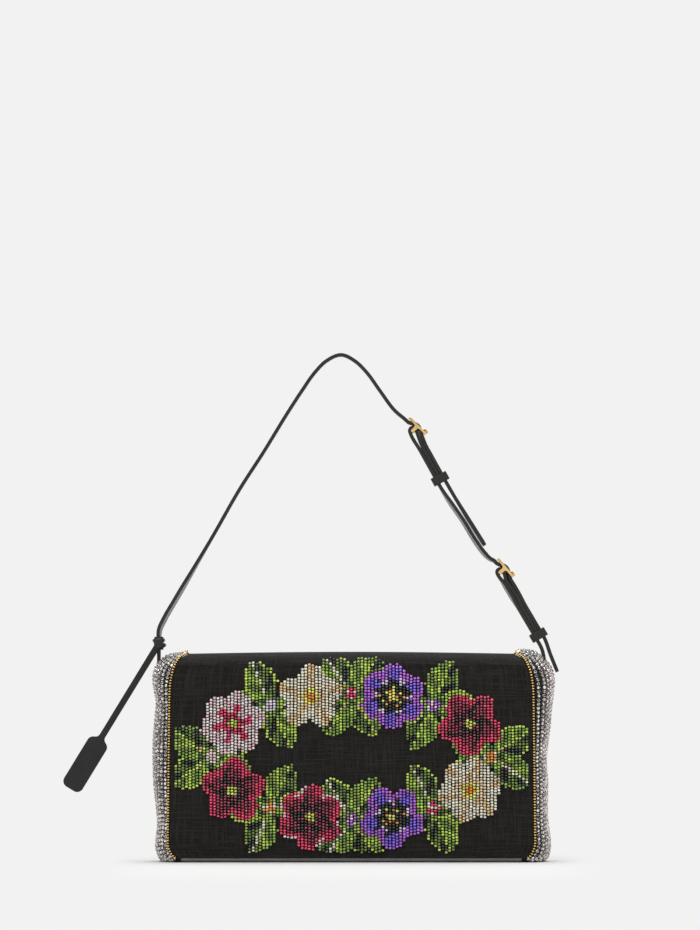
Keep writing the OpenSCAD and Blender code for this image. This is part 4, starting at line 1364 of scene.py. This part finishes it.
strap_piece("long_strap", long_line, True, True, "strap_long", (14, 300),
            [(8, 0), (20, 5), (32, 10), (60, 9), (80, 3), (95, 0), (-38, 0), (-20, 4), (-1, 4)])
strap_piece("middle_strap", middle_line, False, True, "strap_middle", (90, 156),
            [(92, 0), (104, 8), (120, 8), (137, 9), (148, 8), (158, 0), (168, 7), (184, 7),
             (194, 0)])
strap_piece("strap_end", chape_line, False, True, "strap_chape", (66, 108),
            [(25, 0), (31, -7), (38, -7), (46, 0), (64, 0), (70, 7), (80, 7), (88, 0)])

# %% [markdown]
# ## Metal and leather fittings
# The buckles, prongs, keepers and the tag keep the frame's exact shapes. Real edges are never
# perfectly sharp, and a small round on them is what catches the light. So each fitting is a merged
# copy of its node, with its flat faces joined again and its edges bevelled.

# %% Softened copies
MERGE = 0.02 * MM


def softened(node, name, body, slot, material, width, segments=3, angle=35):
    deselect()
    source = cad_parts[node]
    piece = source.copy()
    piece.data = source.data.copy()
    for key in [k for k in piece.keys() if k.startswith("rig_")]:
        del piece[key]
    piece.parent = None
    piece.name = name
    bpy.context.scene.collection.objects.link(piece)
    edit_whole(piece, (bpy.ops.mesh.remove_doubles, {"threshold": MERGE}),
               (bpy.ops.mesh.dissolve_limited, {"angle_limit": math.radians(2)}))
    apply_modifier(piece, "BEVEL", width=width, segments=segments, limit_method="ANGLE",
                   angle_limit=math.radians(angle))
    smooth(piece, 40)
    return finish_piece(piece, body, slot, material, replaces=(node,))


for place in ("upper", "lower"):
    softened(f"buckle_frame_{place}", f"brass_buckle_{place}", "strap", "brass", brass, 0.5 * MM)
    softened(f"buckle_prong_{place}", f"brass_prong_{place}", f"prong_{place}", "brass", brass,
             0.12 * MM, 2)
    softened(f"keeper_{place}", f"leather_keeper_{place}", f"keeper_{place}", "leather",
             strap_leather, 0.4 * MM)
softened("hang_tag", "leather_tag", "tag", "tag_leather", tag_leather, 0.45 * MM)
softened("tag_loop", "tag_knot", "strap", "leather", strap_leather, 0.5 * MM)
for node in ("anchor_rivet_left", "anchor_rivet_right"):
    softened(node, f"brass_{node[7:]}", "bag", "brass", brass, 0.25 * MM)
softened("snap_socket", "snap_ring", "bag", "brass", brass, 0.2 * MM)
softened("snap_stud", "snap_button", "flap_front", "brass", brass, 0.2 * MM)

# %% [markdown]
# The tag hangs from a narrow thong that is wound three times round the strap. Each turn is a torus
# primitive, drawn out to a rounded oblong that clears the strap, and set a little aslant.

# %% The turns of the knot
def knot_turn(name, height, depth, thick, slant, shift):
    deselect()
    bpy.ops.mesh.primitive_torus_add(major_segments=40, minor_segments=10, major_radius=1,
                                     minor_radius=0.5)
    piece = bpy.context.object
    piece.name = name
    for vertex in piece.data.vertices:
        x, y, z = vertex.co
        angle, out = math.atan2(y, x), (math.hypot(x, y) - 1) * 2 * thick
        reach = [math.copysign(abs(t) ** 0.55, t) for t in (math.cos(angle), math.sin(angle))]
        vertex.co = ((STRAP_T / 2 + thick + out) * reach[0] + shift - ANCHOR_X,
                     (depth + out) * reach[1],
                     height + 2 * z * thick * 0.95 + slant * reach[0] * thick)
    smooth(piece, 60)
    return finish_piece(piece, "strap", "leather", strap_leather)


knot_turn("knot_turn_low", 147.9 * MM, 6.9 * MM, 1.45 * MM, 0.5, -0.2 * MM)
knot_turn("knot_turn_middle", 150.3 * MM, 6.6 * MM, 1.6 * MM, -0.45, 0.7 * MM)
knot_turn("knot_turn_high", 152.9 * MM, 7.0 * MM, 1.6 * MM, 0.1, -0.1 * MM)
